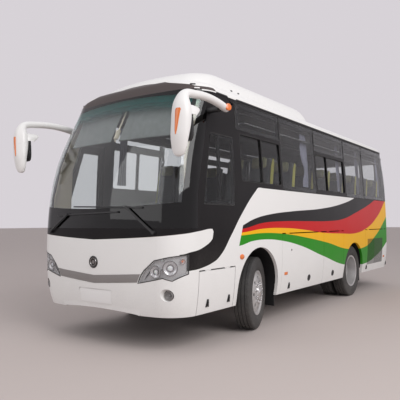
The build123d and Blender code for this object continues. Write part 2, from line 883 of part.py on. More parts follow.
with BuildPart() as driver_pane:
    with BuildSketch(Plane.YZ):
        with BuildLine():
            Polyline(*on_y(driver_rebate), close=True)
        make_face()
        offset(amount=-pane_gap, kind=Kind.INTERSECTION, mode=Mode.REPLACE)
    extrude(amount=far)
    add(glass_layer, mode=Mode.INTERSECT)
rear_window_z = (rear_window_z0 + rear_window_z1) / 2
rear_window_h = rear_window_z1 - rear_window_z0
tail_depth = 400.0
with BuildPart() as rear_pane:
    with BuildSketch(Plane.XZ.offset(-tail_y - 50)):
        with Locations((0, rear_window_z)):
            RectangleRounded(
                2 * (rear_window_half - pane_gap), rear_window_h - 2 * pane_gap, window_r,
            )
    extrude(amount=tail_depth)
    add(glass_layer, mode=Mode.INTERSECT)
left_panes = [*side_panes.part.solids(), *sliding_panes.part.solids()]
right_panes = [pane.mirror(Plane.YZ) for pane in left_panes]
with BuildPart() as window_glass:
    add([*left_panes, *right_panes, *driver_pane.part.solids(), *rear_pane.part.solids()])
window_glass.part.label = "window_glass"
export_step(window_glass.part, "parts/window_glass.step")

# Passenger door: a leaf with a flush window, on brackets that turn on the arms' pins
g = leaf_gap
leaf_points = on_y([
    (door_front + g, door_low_z + g), (door_front + g, door_lean_z),
    (door_top_front + g, door_high_z - g), (door_rear - g, door_high_z - g),
    (door_rear - g, door_low_z + g),
])
pin_x, pin_y = column_x, behind(column_rel) - arm_reach
with BuildPart() as door_recess:
    with BuildSketch(Plane.YZ):
        with BuildLine():
            Polyline(*on_y(door_window), close=True)
        make_face()
        offset(amount=door_glass_lip, kind=Kind.INTERSECTION, mode=Mode.REPLACE)
    extrude(amount=-far)
    add(rebate_layer, mode=Mode.INTERSECT)
with BuildPart() as door_leaf:
    add(shared(shell, side_prism(leaf_points, -far, 0)))
    with BuildSketch(Plane.YZ):
        with BuildLine():
            Polyline(*on_y(door_window), close=True)
        make_face()
    extrude(amount=-far, mode=Mode.SUBTRACT)
    add(door_recess.part, mode=Mode.SUBTRACT)
    for height in arm_heights:
        with BuildSketch(Plane.XY.offset(height + bracket_low)):
            with Locations((pin_x, pin_y)):
                Circle(bracket_r)
            with Locations(((pin_x - 1190.0) / 2, pin_y)):
                Rectangle(pin_x + 1190.0, 2 * bracket_r)
            with Locations((pin_x, pin_y)):
                Circle(arm_pin_r + pin_clearance, mode=Mode.SUBTRACT)
        extrude(amount=bracket_t)
door_leaf.part.label = "door_leaf"
export_step(door_leaf.part, "parts/door_leaf.step")

with BuildPart() as door_glass:
    with BuildSketch(Plane.YZ):
        with BuildLine():
            Polyline(*on_y(door_window), close=True)
        make_face()
        offset(amount=door_glass_lip - pane_gap, kind=Kind.INTERSECTION, mode=Mode.REPLACE)
    extrude(amount=-far)
    add(glass_layer, mode=Mode.INTERSECT)
door_glass.part.label = "door_glass"
export_step(door_glass.part, "parts/door_glass.step")

# The column inside the steps, with two arms that are cranked round the edge of the wall
crank = radians(-arm_crank_angle)
bend_x = column_x - arm_crank * sin(crank)
bend_y = behind(column_rel) - arm_crank * cos(crank)
with BuildPart() as door_arm:
    with BuildSketch(Plane.XY.offset(step_1_z + 3)):
        with Locations((column_x, behind(column_rel))):
            Circle(column_d / 2)
    extrude(amount=column_top_z - step_1_z - 3)
    for height in arm_heights:
        add(bar((column_x, behind(column_rel), height), (bend_x, bend_y, height), arm_d / 2))
        add(bar((bend_x, bend_y, height), (pin_x, pin_y, height), arm_d / 2))
        with BuildSketch(Plane.XY.offset(height - arm_d / 2)):
            with Locations((bend_x, bend_y)):
                Circle(arm_d / 2)
        extrude(amount=arm_d)
        with BuildSketch(Plane.XY.offset(height - arm_eye_r + 4)):
            with Locations((pin_x, pin_y)):
                Circle(arm_eye_r)
        extrude(amount=2 * (arm_eye_r - 4))
        with BuildSketch(Plane.XY.offset(height)):
            with Locations((pin_x, pin_y)):
                Circle(arm_pin_r)
        extrude(amount=bracket_low + bracket_t + 2)
door_arm.part.label = "door_arm"
export_step(door_arm.part, "parts/door_arm.step")

# Tail: the wall with its window, the lid over the engine with air slots, and the lamps
with BuildPart() as tail_shell:
    add(shell)
    split(bisect_by=Plane.XZ.offset(-behind(tail_split_rel) - seat_gap), keep=Keep.BOTTOM)
with BuildPart() as tail_lamp_zone:
    with BuildSketch(Plane.XY.offset(tail_lamp_z0)):
        for side in (-1, 1):
            with Locations((side * (tail_lamp_x + far) / 2, tail_y - tail_lamp_in / 2 + 25)):
                Rectangle(far - tail_lamp_x, tail_lamp_in + 50)
    extrude(amount=tail_lamp_z1 - tail_lamp_z0)
with BuildPart() as tail_recess:
    with BuildSketch(Plane.XZ.offset(-tail_y - 50)):
        with Locations((0, rear_window_z)):
            RectangleRounded(2 * rear_window_half, rear_window_h, window_r + pane_gap)
    extrude(amount=tail_depth)
    add(rebate_layer, mode=Mode.INTERSECT)
lid_hinges = [lid_hinge(x) for x in (-lid_hinge_x, lid_hinge_x)]
at_lid = Location((0, tail_y + tail_hinge_out, lid_z1))
with BuildPart() as rear_wall:
    add(tail_shell.part)
    add(tail_lamp_zone.part, mode=Mode.SUBTRACT)
    with BuildSketch(Plane.XZ.offset(-tail_y - 50)):
        with Locations((0, (lid_z0 + lid_z1 + leaf_gap) / 2)):
            Rectangle(2 * lid_half, lid_z1 + leaf_gap - lid_z0)
        with Locations((0, rear_window_z)):
            RectangleRounded(
                2 * (rear_window_half - rear_window_lip), rear_window_h - 2 * rear_window_lip,
                window_r - rear_window_lip / 2,
            )
    extrude(amount=tail_depth, mode=Mode.SUBTRACT)
    add(tail_recess.part, mode=Mode.SUBTRACT)
    for fixed, _ in lid_hinges:
        add(fixed.moved(at_lid))
rear_wall.part.label = "rear_wall"
export_step(rear_wall.part, "parts/rear_wall.step")

with BuildPart() as engine_lid:
    add(tail_shell.part)
    with BuildSketch(Plane.XZ.offset(-tail_y - 50)):
        with Locations((0, (lid_z0 + lid_z1) / 2)):
            Rectangle(2 * (lid_half - leaf_gap), lid_z1 - lid_z0 - 2 * leaf_gap)
    extrude(amount=tail_depth, mode=Mode.INTERSECT)
    with BuildSketch(Plane.XZ.offset(-tail_y - 50)):
        with Locations((0, lid_slot_z)):
            with GridLocations(1, lid_slot_pitch, 1, lid_slots):
                Rectangle(lid_slot_w, lid_slot_h)
    extrude(amount=tail_depth, mode=Mode.SUBTRACT)
    for _, moving in lid_hinges:
        add(moving.moved(at_lid))
engine_lid.part.label = "engine_lid"
export_step(engine_lid.part, "parts/engine_lid.step")

with BuildPart() as tail_lamps:
    add(shared(lamp_layer, tail_lamp_zone.part))
tail_lamps.part.label = "tail_lamps"
export_step(tail_lamps.part, "parts/tail_lamps.step")

# Roof, and the fairing over the air conditioner
roof_outer = roof_form(0, 0)
with BuildPart() as roof:
    add(roof_outer)
    add(roof_form(wall, wall), mode=Mode.SUBTRACT)
roof.part.label = "roof"
export_step(roof.part, "parts/roof.step")

with BuildPart() as air_conditioner_cover:
    for level, half_w, front, rear in fairing_levels:
        with BuildSketch(Plane.XY.offset(level)):
            plan_outline(
                half_w, behind(front), behind(rear),
                fairing_front_r, fairing_corner_r, tail_arc_r, tail_corner_r,
            )
    loft()
    add(roof_form(-seat_gap, -seat_gap), mode=Mode.SUBTRACT)
air_conditioner_cover.part.label = "air_conditioner_cover"
export_step(air_conditioner_cover.part, "parts/air_conditioner_cover.step")

# Wheel housings: a half round shell over each wheel, with a mud flap hung behind the wheel
with BuildPart() as housings:
    for y, z, radius in (
        (front_axle_y, front_arch_z, front_well_r), (rear_axle_y, rear_arch_z, rear_well_r),
    ):
        with BuildSketch(Plane.YZ.offset(well_in_x)):
            with Locations((y, z)):
                Circle(radius + well_t)
                Circle(radius, mode=Mode.SUBTRACT)
            with Locations((y, z - radius)):
                Rectangle(far, 2 * radius, mode=Mode.SUBTRACT)
        extrude(amount=far - well_in_x)
    add(inside, mode=Mode.INTERSECT)
    for y, z, radius in (
        (front_axle_y, front_arch_z, front_well_r), (rear_axle_y, rear_arch_z, rear_well_r),
    ):
        with BuildSketch(Plane.XY.offset(mud_flap_z)):
            with Locations(((mud_flap_x0 + mud_flap_x1) / 2, y + radius + well_t / 2)):
                Rectangle(mud_flap_x1 - mud_flap_x0, mud_flap_t)
        extrude(amount=z - seat_gap - mud_flap_z)
with BuildPart() as wheel_housings:
    add(housings.part)
    mirror(housings.part, about=Plane.YZ)
wheel_housings.part.label = "wheel_housings"
export_step(wheel_housings.part, "parts/wheel_housings.step")

# Floor, driver's platform, and the plates of the door steps
cab_y = behind(floor_front)
steps_y0 = behind(door_front) + 5
riser_y = cab_y - riser_t
platform_low = platform_z - platform_t
with BuildPart() as platform:
    add(block(platform_edge_x, far, nose_y, cab_y, platform_low, platform_z))
    add(inside, mode=Mode.INTERSECT)
with BuildPart() as first_step:
    add(block(step_1_x, step_2_x - seat_gap, steps_y0, riser_y, step_1_z - step_t, step_1_z))
    with BuildSketch(Plane.XY.offset(step_1_z)):
        with Locations((column_x, behind(column_rel))):
            Circle(collar_r)
            Circle(column_d / 2 + pin_clearance, mode=Mode.SUBTRACT)
    extrude(amount=collar_h)
with BuildPart() as floor:
    add(block(
        -floor_half, floor_half, cab_y + seat_gap, behind(floor_rear), floor_z, floor_z + floor_t,
    ))
    add(platform.part)
    add(first_step.part)
    for x, z0, z1 in (
        (step_2_x, step_1_z - step_t, step_2_z - step_t),
        (platform_edge_x, step_2_z + seat_gap, platform_low),
    ):
        add(block(x, x + step_t, steps_y0, riser_y, z0, z1 - seat_gap))
    add(block(
        step_2_x, platform_edge_x + step_t, steps_y0, riser_y, step_2_z - step_t, step_2_z,
    ))
    # The wall between the cab and the saloon's floor, above the rails, and behind the steps
    add(block(-floor_half, floor_half, riser_y + seat_gap, cab_y, platform_z + seat_gap, floor_z))
    add(block(
        step_1_x, platform_edge_x - seat_gap, riser_y + seat_gap, cab_y,
        step_1_z - step_t, platform_z,
    ))
floor.part.label = "floor"
export_step(floor.part, "parts/floor.step")

# Luggage bay under the floor, and the bulkhead in front of the engine
bay_wall = [
    (-bay_low_half, bay_low_z + bay_t + seat_gap), (-bay_mid_half, bay_mid_z),
    (-floor_half, floor_z - seat_gap), (floor_half, floor_z - seat_gap),
    (bay_mid_half, bay_mid_z), (bay_low_half, bay_low_z + bay_t + seat_gap),
]
with BuildPart() as luggage_bay:
    add(block(
        -bay_low_half, bay_low_half, behind(bay_front), behind(bay_rear),
        bay_low_z, bay_low_z + bay_t,
    ))
    add(front_prism(bay_wall, behind(bay_front), behind(bay_front) + bay_t))
    add(front_prism(bay_wall, behind(bay_rear) - bay_t, behind(bay_rear)))
    add(block(
        -bay_mid_half, bay_mid_half, behind(bulkhead_rel), behind(bulkhead_rel) + bay_t,
        rail_z1 + seat_gap, floor_z - seat_gap,
    ))
luggage_bay.part.label = "luggage_bay"
export_step(luggage_bay.part, "parts/luggage_bay.step")

# Chassis: two pairs of rails with cross members, posts under the floors and towing brackets
cross_half = rail_x - seat_gap
with BuildPart() as chassis_frame:
    for front, rear in rail_ends:
        for x in (-rail_x - rail_w, rail_x):
            add(block(x, x + rail_w, behind(front), behind(rear), rail_z0, rail_z1))
    for rel in cross_rels:
        add(block(-cross_half, cross_half, behind(rel), behind(rel) + cross_t, rail_z0, rail_z1))
    for rel, top in post_tops:
        for x in (-rail_x - rail_w, rail_x):
            add(block(
                x, x + rail_w, behind(rel), behind(rel) + cross_t,
                rail_z1 + seat_gap, top - seat_gap,
            ))
    for y in (behind(cross_rels[0]), behind(cross_rels[-1]) + cross_t - tow_plate_l):
        with BuildSketch(Plane.XY.offset(tow_z)):
            with Locations((0, y + tow_plate_l / 2)):
                Rectangle(tow_plate_w, tow_plate_l)
                Circle(tow_pin_r, mode=Mode.SUBTRACT)
        extrude(amount=tow_plate_t)
        with BuildSketch(Plane.XY.offset(tow_z + tow_plate_t)):
            for x in (-tow_web_x - tow_web_t / 2, tow_web_x + tow_web_t / 2):
                with Locations((x, y + tow_plate_l / 2)):
                    Rectangle(tow_web_t, tow_plate_l)
        extrude(amount=rail_z0 - seat_gap - tow_z - tow_plate_t)
chassis_frame.part.label = "chassis_frame"
export_step(chassis_frame.part, "parts/chassis_frame.step")

# Engine and gearbox: sump, crankcase with its mounts, head, fan and pulleys at the tail end
with BuildPart() as engine_block:
    y0, y1 = behind(engine_front), behind(engine_rear)
    add(block(-engine_half, engine_half, y0, y1, engine_low_z, engine_top_z))
    add(block(-sump_half, sump_half, y0 + mount_w, y1 - mount_w, sump_z, engine_low_z))
    add(block(-head_half, head_half, y0, y1 - mount_w, engine_top_z, head_top_z))
    for y in (y0 + mount_w, y1 - 2 * mount_w):
        add(block(
            -cross_half, cross_half, y, y + mount_w, engine_low_z + mount_w,
            engine_low_z + mount_w + mount_h,
        ))
    with BuildSketch(Plane.XZ.offset(-y0)):
        with Locations((0, (engine_low_z + engine_top_z) / 2)):
            Circle(gearbox_r)
    extrude(amount=y0 - behind(gearbox_front))
    with BuildSketch(Plane.XZ.offset(-y1)):
        with Locations((0, engine_top_z - fan_r / 2)):
            Circle(fan_r)
    extrude(amount=-fan_l)
    with BuildSketch(Plane.XZ.offset(-y1)):
        for x in (-pulley_r, pulley_r):
            with Locations((x, engine_low_z + pulley_r)):
                Circle(pulley_r / 2)
    extrude(amount=-pulley_l)
engine_block.part.label = "engine_block"
export_step(engine_block.part, "parts/engine_block.step")

# Front axle beam with an eye for the king pin at each end, and a block under each spring
beam_low, beam_high = tyre_r - beam_half_z, tyre_r + beam_half_z
with BuildPart() as front_axle:
    with BuildSketch(Plane.XY.offset(beam_low)):
        with Locations((0, front_axle_y)):
            Rectangle(2 * steer_pin_x, 2 * beam_half_y)
        with Locations((-steer_pin_x, front_axle_y), (steer_pin_x, front_axle_y)):
            Circle(eye_r)
            Circle(king_pin_r + pin_clearance, mode=Mode.SUBTRACT)
    extrude(amount=beam_high - beam_low)
    for x in (-rail_x - rail_w, rail_x):
        add(block(
            x, x + rail_w, front_axle_y - spring_half, front_axle_y + spring_half,
            beam_high - fork_gap, rail_z0 - seat_gap,
        ))
front_axle.part.label = "front_axle"
export_step(front_axle.part, "parts/front_axle.step")

with BuildPart() as rear_axle:
    for radius, half in (
        (axle_tube_r, rear_tube_half), (rear_spindle_r, rear_spindle_half), (diff_r, diff_half),
    ):
        with BuildSketch(Plane.YZ.offset(-half)):
            with Locations((rear_axle_y, tyre_r)):
                Circle(radius)
        extrude(amount=2 * half)
    for x in (-rail_x - rail_w, rail_x):
        add(block(
            x, x + rail_w, rear_axle_y - spring_half, rear_axle_y + spring_half,
            tyre_r, rail_z0 - seat_gap,
        ))
rear_axle.part.label = "rear_axle"
export_step(rear_axle.part, "parts/rear_axle.step")


# The front wheels turn with the knuckles about the king pins. Each piece is made about the
# pin at the height of the axle, with the spindle along X, and then turned.
def knuckle_form():
    """A fork with its king pin, and the spindle of the wheel."""
    reach = beam_half_z + fork_gap + fork_t
    with BuildPart() as fork:
        with BuildSketch(Plane.XY.offset(-reach)):
            Circle(king_pin_r)
        extrude(amount=2 * reach)
        for low in (-reach, reach - fork_t):
            with BuildSketch(Plane.XY.offset(low)):
                Circle(eye_r)
                with Locations((fork_web_x / 2, 0)):
                    Rectangle(fork_web_x, 2 * fork_half)
            extrude(amount=fork_t)
        with BuildSketch(Plane.XY.offset(-reach)):
            with Locations((fork_web_x, 0)):
                Rectangle(fork_web_t, 2 * fork_half)
        extrude(amount=2 * reach)
        with BuildSketch(Plane.YZ.offset(fork_web_x)):
            Circle(spindle_r)
        extrude(amount=spindle_l - fork_web_x)
    return fork.part


def ring(profile, holes, hole_r, hole_at, across):
    """A turned piece about X from (x, radius) points, with round holes along X."""
    with BuildPart() as turned:
        with BuildSketch(Plane.XY):
            with BuildLine():
                Polyline(*profile, close=True)
            make_face()
        revolve(axis=Axis.X)
        if holes:
            with BuildSketch(Plane.YZ.offset(across)):
                with PolarLocations(hole_at, holes):
                    Circle(hole_r)
            extrude(amount=far, mode=Mode.SUBTRACT)
    return turned.part


def steered(angle, reach):
    """The place of a piece of the left front wheel, at a steering angle to the left."""
    pin = Location((steer_pin_x, front_axle_y, tyre_r), (0, 0, angle))
    return pin * Location((reach, 0, 0))


wheel_reach = track_x - steer_pin_x
front_rim = ring(front_rim_points, hand_holes, front_hole_r, front_hole_at, 0)
tyre = ring(tyre_points, 0, 0, 0, 0)
with BuildPart() as knuckle_left:
    add(knuckle_form().moved(steered(parked_steer, 0)))
knuckle_left.part.label = "knuckle_left"
export_step(knuckle_left.part, "parts/knuckle_left.step")
with BuildPart() as knuckle_right:
    mirror(knuckle_form().moved(steered(-parked_steer, 0)), about=Plane.YZ)
knuckle_right.part.label = "knuckle_right"
export_step(knuckle_right.part, "parts/knuckle_right.step")
with BuildPart() as wheel_front_left:
    add(front_rim.moved(steered(parked_steer, wheel_reach)))
wheel_front_left.part.label = "wheel_front_left"
export_step(wheel_front_left.part, "parts/wheel_front_left.step")
with BuildPart() as wheel_front_right:
    mirror(front_rim.moved(steered(-parked_steer, wheel_reach)), about=Plane.YZ)
wheel_front_right.part.label = "wheel_front_right"
export_step(wheel_front_right.part, "parts/wheel_front_right.step")
with BuildPart() as tyre_front_left:
    add(tyre.moved(steered(parked_steer, wheel_reach)))
tyre_front_left.part.label = "tyre_front_left"
export_step(tyre_front_left.part, "parts/tyre_front_left.step")
with BuildPart() as tyre_front_right:
    mirror(tyre.moved(steered(-parked_steer, wheel_reach)), about=Plane.YZ)
tyre_front_right.part.label = "tyre_front_right"
export_step(tyre_front_right.part, "parts/tyre_front_right.step")

# Twin rear wheels on one hub at each side
at_rear = Location((0, rear_axle_y, tyre_r))
with BuildPart() as wheels_rear_left:
    rim = ring(rear_rim_points, hand_holes, rear_hole_r, rear_hole_at, rear_disc_x)
    add(rim.moved(at_rear))
wheels_rear_left.part.label = "wheels_rear_left"
export_step(wheels_rear_left.part, "parts/wheels_rear_left.step")
with BuildPart() as wheels_rear_right:
    mirror(wheels_rear_left.part, about=Plane.YZ)
wheels_rear_right.part.label = "wheels_rear_right"
export_step(wheels_rear_right.part, "parts/wheels_rear_right.step")
with BuildPart() as tyres_rear_left:
    for x in (track_x, track_x - dual_spacing):
        add(tyre.moved(at_rear * Location((x, 0, 0))))
tyres_rear_left.part.label = "tyres_rear_left"
export_step(tyres_rear_left.part, "parts/tyres_rear_left.step")
with BuildPart() as tyres_rear_right:
    mirror(tyres_rear_left.part, about=Plane.YZ)
tyres_rear_right.part.label = "tyres_rear_right"
export_step(tyres_rear_right.part, "parts/tyres_rear_right.step")

# Seats: pairs on one pedestal along both sides, and the driver's seat
with BuildPart() as seat_pairs:
    for row in range(seat_rows):
        y = behind(seat_front + row * seat_pitch)
        low = floor_z + floor_t + cushion_low
        middle = (seat_x0 + seat_x1) / 2
        add(block(seat_x0, seat_x1, y, y + cushion_d - seat_gap, low, low + cushion_h))
        add(block(
            middle - pedestal_w / 2, middle + pedestal_w / 2,
            y + (cushion_d - pedestal_d) / 2, y + (cushion_d + pedestal_d) / 2,
            floor_z + floor_t, low - seat_gap,
        ))
        back = [
            (y + cushion_d, low), (y + cushion_d + back_t, low),
            (y + cushion_d + back_t + back_lean, low + cushion_h + back_h),
            (y + cushion_d + headrest_in + back_lean, low + cushion_h + back_h),
            (y + cushion_d, low + cushion_h),
        ]
        add(side_prism(back, seat_x0, middle - seat_split / 2))
        add(side_prism(back, middle + seat_split / 2, seat_x1))
with BuildPart() as seats:
    add(seat_pairs.part)
    mirror(seat_pairs.part, about=Plane.YZ)
    y = behind(driver_rel)
    low = platform_z + cushion_low
    middle = (driver_x0 + driver_x1) / 2
    add(block(driver_x0, driver_x1, y, y + driver_d - seat_gap, low, low + cushion_h))
    add(block(
        middle - pedestal_w / 3, middle + pedestal_w / 3, y + 2 * headrest_in,
        y + driver_d - 4 * headrest_in, platform_z, low - seat_gap,
    ))
    back = [
        (y + driver_d, low), (y + driver_d + back_t * 0.8, low),
        (y + driver_d + back_t * 0.8, low + cushion_h + back_h),
        (y + driver_d + headrest_in * 2, low + cushion_h + back_h),
        (y + driver_d, low + cushion_h),
    ]
    add(side_prism(back, driver_x0, driver_x1))
seats.part.label = "seats"
export_step(seats.part, "parts/seats.step")

# Dashboard across the nose, with an instrument hood and the steering wheel on its column
with BuildPart() as dashboard:
    add(block(dash_x0, far, nose_y, behind(dash_rear), platform_z, dash_top_z))
    add(inside, mode=Mode.INTERSECT)
    hood_y = behind(dash_rear)
    hood = [
        (hood_y, dash_top_z - cluster_h), (hood_y, dash_top_z + cluster_h),
        (hood_y - cluster_d, dash_top_z), (hood_y - cluster_d, dash_top_z - cluster_h),
    ]
    add(side_prism(hood, cluster_x0, cluster_x1))
wheel_plane = Plane(
    origin=(steering_x, behind(steering_rel), steering_z), x_dir=(1, 0, 0),
    z_dir=(0, sin(radians(steering_tilt)), cos(radians(steering_tilt))),
)
with BuildPart() as steering_wheel:
    with BuildSketch(Plane.XZ):
        with Locations((steering_r, 0)):
            RegularPolygon(steering_rim, 6)
    revolve(axis=Axis.Z)
    with BuildSketch(Plane.XY.offset(-steering_rim / 2)):
        Circle(3 * steering_rim)
        Rectangle(2 * steering_r, 2 * steering_rim)
        with Locations((0, -steering_r / 2)):
            Rectangle(2 * steering_rim, steering_r)
    extrude(amount=steering_rim)
    with BuildSketch(Plane.XY.offset(-steering_column_l)):
        Circle(steering_rim * 1.5)
    extrude(amount=steering_column_l)
with BuildPart() as dashboard_set:
    add(dashboard.part)
    add(steering_wheel.part.moved(wheel_plane.location))
dashboard_set.part.label = "dashboard"
export_step(dashboard_set.part, "parts/dashboard.step")

# Mirrors: a long rounded head ahead of each front corner, on an arm that curves down from
# the side of the roof
with BuildPart() as mirror_arm:
    with BuildLine() as arm_path:
        FilletPolyline(
            *[(x, behind(rel), z) for x, rel, z in mirror_arm_points], radius=mirror_arm_bends,
        )
    with BuildSketch(Plane(origin=arm_path.line @ 0, z_dir=arm_path.line % 0)):
        Circle(mirror_arm_r)
    sweep()
foot_y0, foot_y1, foot_z0, foot_z1 = mirror_foot
with BuildPart() as mirror_left:
    for level, x, rel, across, deep in mirror_head_levels:
        with BuildSketch(Plane.XY.offset(level)):
            with Locations((x, behind(rel))):
                Ellipse(across, deep)
    loft()
    add(mirror_arm.part)
    add(Solid.make_sphere(mirror_arm_r, angle1=-90).moved(Location(arm_path.line @ 1)))
    add(block(
        roof_levels[-1][1], mirror_arm_points[-1][0], behind(foot_y0), behind(foot_y1),
        foot_z0, foot_z1,
    ))
    add(body_form(-seat_gap), mode=Mode.SUBTRACT)
with BuildPart() as mirrors:
    add(mirror_left.part)
    mirror(mirror_left.part, about=Plane.YZ)
mirrors.part.label = "mirrors"
export_step(mirrors.part, "parts/mirrors.step")

# Luggage racks along the roof sides: a shelf with a lip
with BuildPart() as rack:
    add(block(rack_x, far, behind(rack_front), behind(rack_rear), rack_z, rack_z + rack_t))
    add(inside, mode=Mode.INTERSECT)
    add(block(
        rack_x - rack_t - seat_gap, rack_x - seat_gap, behind(rack_front), behind(rack_rear),
        rack_z - rack_t / 2, rack_z + rack_lip,
    ))
with BuildPart() as luggage_racks:
    add(rack.part)
    mirror(rack.part, about=Plane.YZ)
luggage_racks.part.label = "luggage_racks"
export_step(luggage_racks.part, "parts/luggage_racks.step")

# Roller blinds hung from the roof behind the windshield: a sheet below a cassette
blind_layer = without(body_form(blind_set), body_form(blind_set + blind_t))
cassette_low = gutter_z - cassette_drop
with BuildPart() as cassette:
    add(body_form(blind_set))
    add(roof_form(wall + seat_gap, wall + seat_gap))
    add(
        block(blind_x0, blind_x1, nose_y, behind(blind_rear), cassette_low, gutter_z + 200),
        mode=Mode.INTERSECT,
    )
with BuildPart() as blind:
    add(shared(
        blind_layer, nose_zone,
        block(blind_x0, blind_x1, nose_y, 0, blind_z, cassette_low + blind_t),
    ))
    add(cassette.part)
with BuildPart() as sun_blinds:
    add(blind.part)
    mirror(blind.part, about=Plane.YZ)
sun_blinds.part.label = "sun_blinds"
export_step(sun_blinds.part, "parts/sun_blinds.step")


# Wipers, parked across the windshield: an arm and a blade that follow the glass
def strip(x0, z0, x1, z1, width):
    """A straight bar in front view, cut through the whole nose."""
    run = sqrt((x1 - x0) ** 2 + (z1 - z0) ** 2)
    dx, dz = (x1 - x0) / run * width / 2, (z1 - z0) / run * width / 2
    points = [
        (x0 - dz, z0 + dx), (x1 - dz, z1 + dx), (x1 + dz, z1 - dx), (x0 + dz, z0 - dx),
    ]
    return front_prism(points, nose_y - 100, behind(wiper_rear))


arm_layer = without(body_form(-wiper_arm_out), body_form(-wiper_arm_in))
blade_layer = without(body_form(-wiper_blade_out), body_form(-wiper_blade_in))
with BuildPart() as pivots:
    with BuildSketch(Plane.XZ.offset(-nose_y + 60)):
        with Locations((wiper_pivot_x, wiper_pivot_z), (-wiper_pivot_x, wiper_pivot_z)):
            Circle(wiper_pivot_r)
    extrude(amount=-400)
    add(body_form(-wiper_arm_out), mode=Mode.INTERSECT)
    add(body_form(-seat_gap), mode=Mode.SUBTRACT)
with BuildPart() as wipers:
    add(pivots.part)
    for side, tip_z in ((1, wiper_tip_z), (-1, wiper_tip_z - wiper_drop)):
        arm_bar = strip(
            side * wiper_pivot_x, wiper_pivot_z, side * wiper_tip_x, tip_z, wiper_arm_w,
        )
        blade_bar = strip(
            side * wiper_blade_x0, tip_z + wiper_blade_dip / 3,
            side * wiper_blade_x1, tip_z - wiper_blade_dip * 2 / 3, wiper_blade_w,
        )
        add(shared(arm_layer, arm_bar))
        add(shared(blade_layer, blade_bar))
wipers.part.label = "wipers"
export_step(wipers.part, "parts/wipers.step")
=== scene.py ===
"""Looks of an eight-metre coach bus: paint, glass, lamps, tyres and the cabin behind the windows."""

from __future__ import annotations

import json
import logging
from collections.abc import Callable, Iterable, Sequence
from dataclasses import dataclass
from enum import Enum
from functools import reduce
from math import atan2, copysign, cos, exp, hypot, pi, radians, sin, sqrt

import bmesh
import bpy
from mathutils import Matrix, Vector
from mathutils.bvhtree import BVHTree

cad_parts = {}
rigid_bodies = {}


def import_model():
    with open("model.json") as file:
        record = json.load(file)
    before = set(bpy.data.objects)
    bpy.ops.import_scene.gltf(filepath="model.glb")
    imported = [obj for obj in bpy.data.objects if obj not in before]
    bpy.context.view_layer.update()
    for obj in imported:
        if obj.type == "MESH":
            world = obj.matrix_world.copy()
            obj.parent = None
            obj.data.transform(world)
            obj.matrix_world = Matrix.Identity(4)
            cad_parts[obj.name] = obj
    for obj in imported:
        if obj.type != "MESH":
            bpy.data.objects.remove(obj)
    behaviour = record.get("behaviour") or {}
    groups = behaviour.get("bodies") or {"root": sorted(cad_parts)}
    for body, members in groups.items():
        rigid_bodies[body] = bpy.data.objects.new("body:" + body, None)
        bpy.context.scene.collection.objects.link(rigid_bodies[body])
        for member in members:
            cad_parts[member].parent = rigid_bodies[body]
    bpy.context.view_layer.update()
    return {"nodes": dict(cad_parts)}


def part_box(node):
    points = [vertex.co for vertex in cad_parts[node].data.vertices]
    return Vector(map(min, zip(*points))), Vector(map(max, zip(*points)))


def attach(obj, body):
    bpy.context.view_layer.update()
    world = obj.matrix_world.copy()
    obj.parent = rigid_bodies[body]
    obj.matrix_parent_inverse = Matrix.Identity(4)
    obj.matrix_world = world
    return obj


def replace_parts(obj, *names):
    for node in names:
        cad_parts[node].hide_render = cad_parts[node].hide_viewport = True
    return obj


log = logging.getLogger("coach")
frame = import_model()

Socket = bpy.types.NodeSocket
Node = bpy.types.Node
Points = Sequence[tuple[float, float]]
Spot = tuple[Vector, Vector]

SIDES = ((1, "left"), (-1, "right"))
UP = Vector((0.0, 0.0, 1.0))
FORWARD = Vector((0.0, -1.0, 0.0))
BACKWARD = Vector((0.0, 1.0, 0.0))
NOSE_Y = -3.96
FRONT_AXLE_Y = -2.10
REAR_AXLE_Y = 1.68
HALF_WIDTH = 1.225
HUB_Z = 0.487
GUTTER_Z = 3.05
PARKED_STEER = 16.0
STEER_PIN_X = 0.905
TRACK_X = 1.04
DUAL_SPACING = 0.28

# Side glass: window fronts, rears and sliding bars behind the front axle, then the bands' ends
SIDE_WINDOWS = (
    (-0.43, 0.68, 0.13), (0.76, 1.94, None), (2.02, 3.34, 2.50), (3.46, 4.40, None), (4.52, 5.95, None),
)
BAND_ENDS = (-0.52, 0.718, 1.98, 3.40, 4.46, 5.99)
BAND_LOW = 1.925
BAND_HIGH = 3.012
SILL = 1.99
SLIDER_TOP = 2.59
SLIDER_SPLIT = 2.645
DRIVER_WINDOW = ((-1.30, 1.66), (-0.63, 1.66), (-0.59, 2.52), (-1.104, 2.52))
DOOR_WINDOW = ((-1.31, 1.28), (-1.31, 1.60), (-1.055, 2.49), (-0.715, 2.49), (-0.715, 1.28))

# Paint boundaries: distance round the body from the middle of the nose, and height
BODY_GIRTH = 10.6
BLACK_FOOT = (
    (0.0, 1.24), (0.6, 1.25), (1.17, 1.28), (1.30, 1.30), (1.34, 1.30), (1.36, 0.90), (1.50, 0.915),
    (1.70, 0.93), (1.985, 0.99), (2.105, 1.05), (2.345, 1.28), (2.605, 1.55), (3.0, 1.88),
    (3.06, 1.915), (3.2, 1.915), (BODY_GIRTH, 1.915),
)
BEAK_TOP = (
    (0.0, 1.25), (1.44, 1.325), (1.7, 1.352), (1.95, 1.372), (1.98, 1.36), (2.02, 1.1), (BODY_GIRTH, 1.1),
)
BEAK_FOOT = (
    (0.0, 1.1), (1.40, 1.10), (1.52, 1.12), (1.665, 1.14), (1.815, 1.185), (1.925, 1.24), (1.975, 1.31),
    (2.02, 1.5), (BODY_GIRTH, 1.5),
)
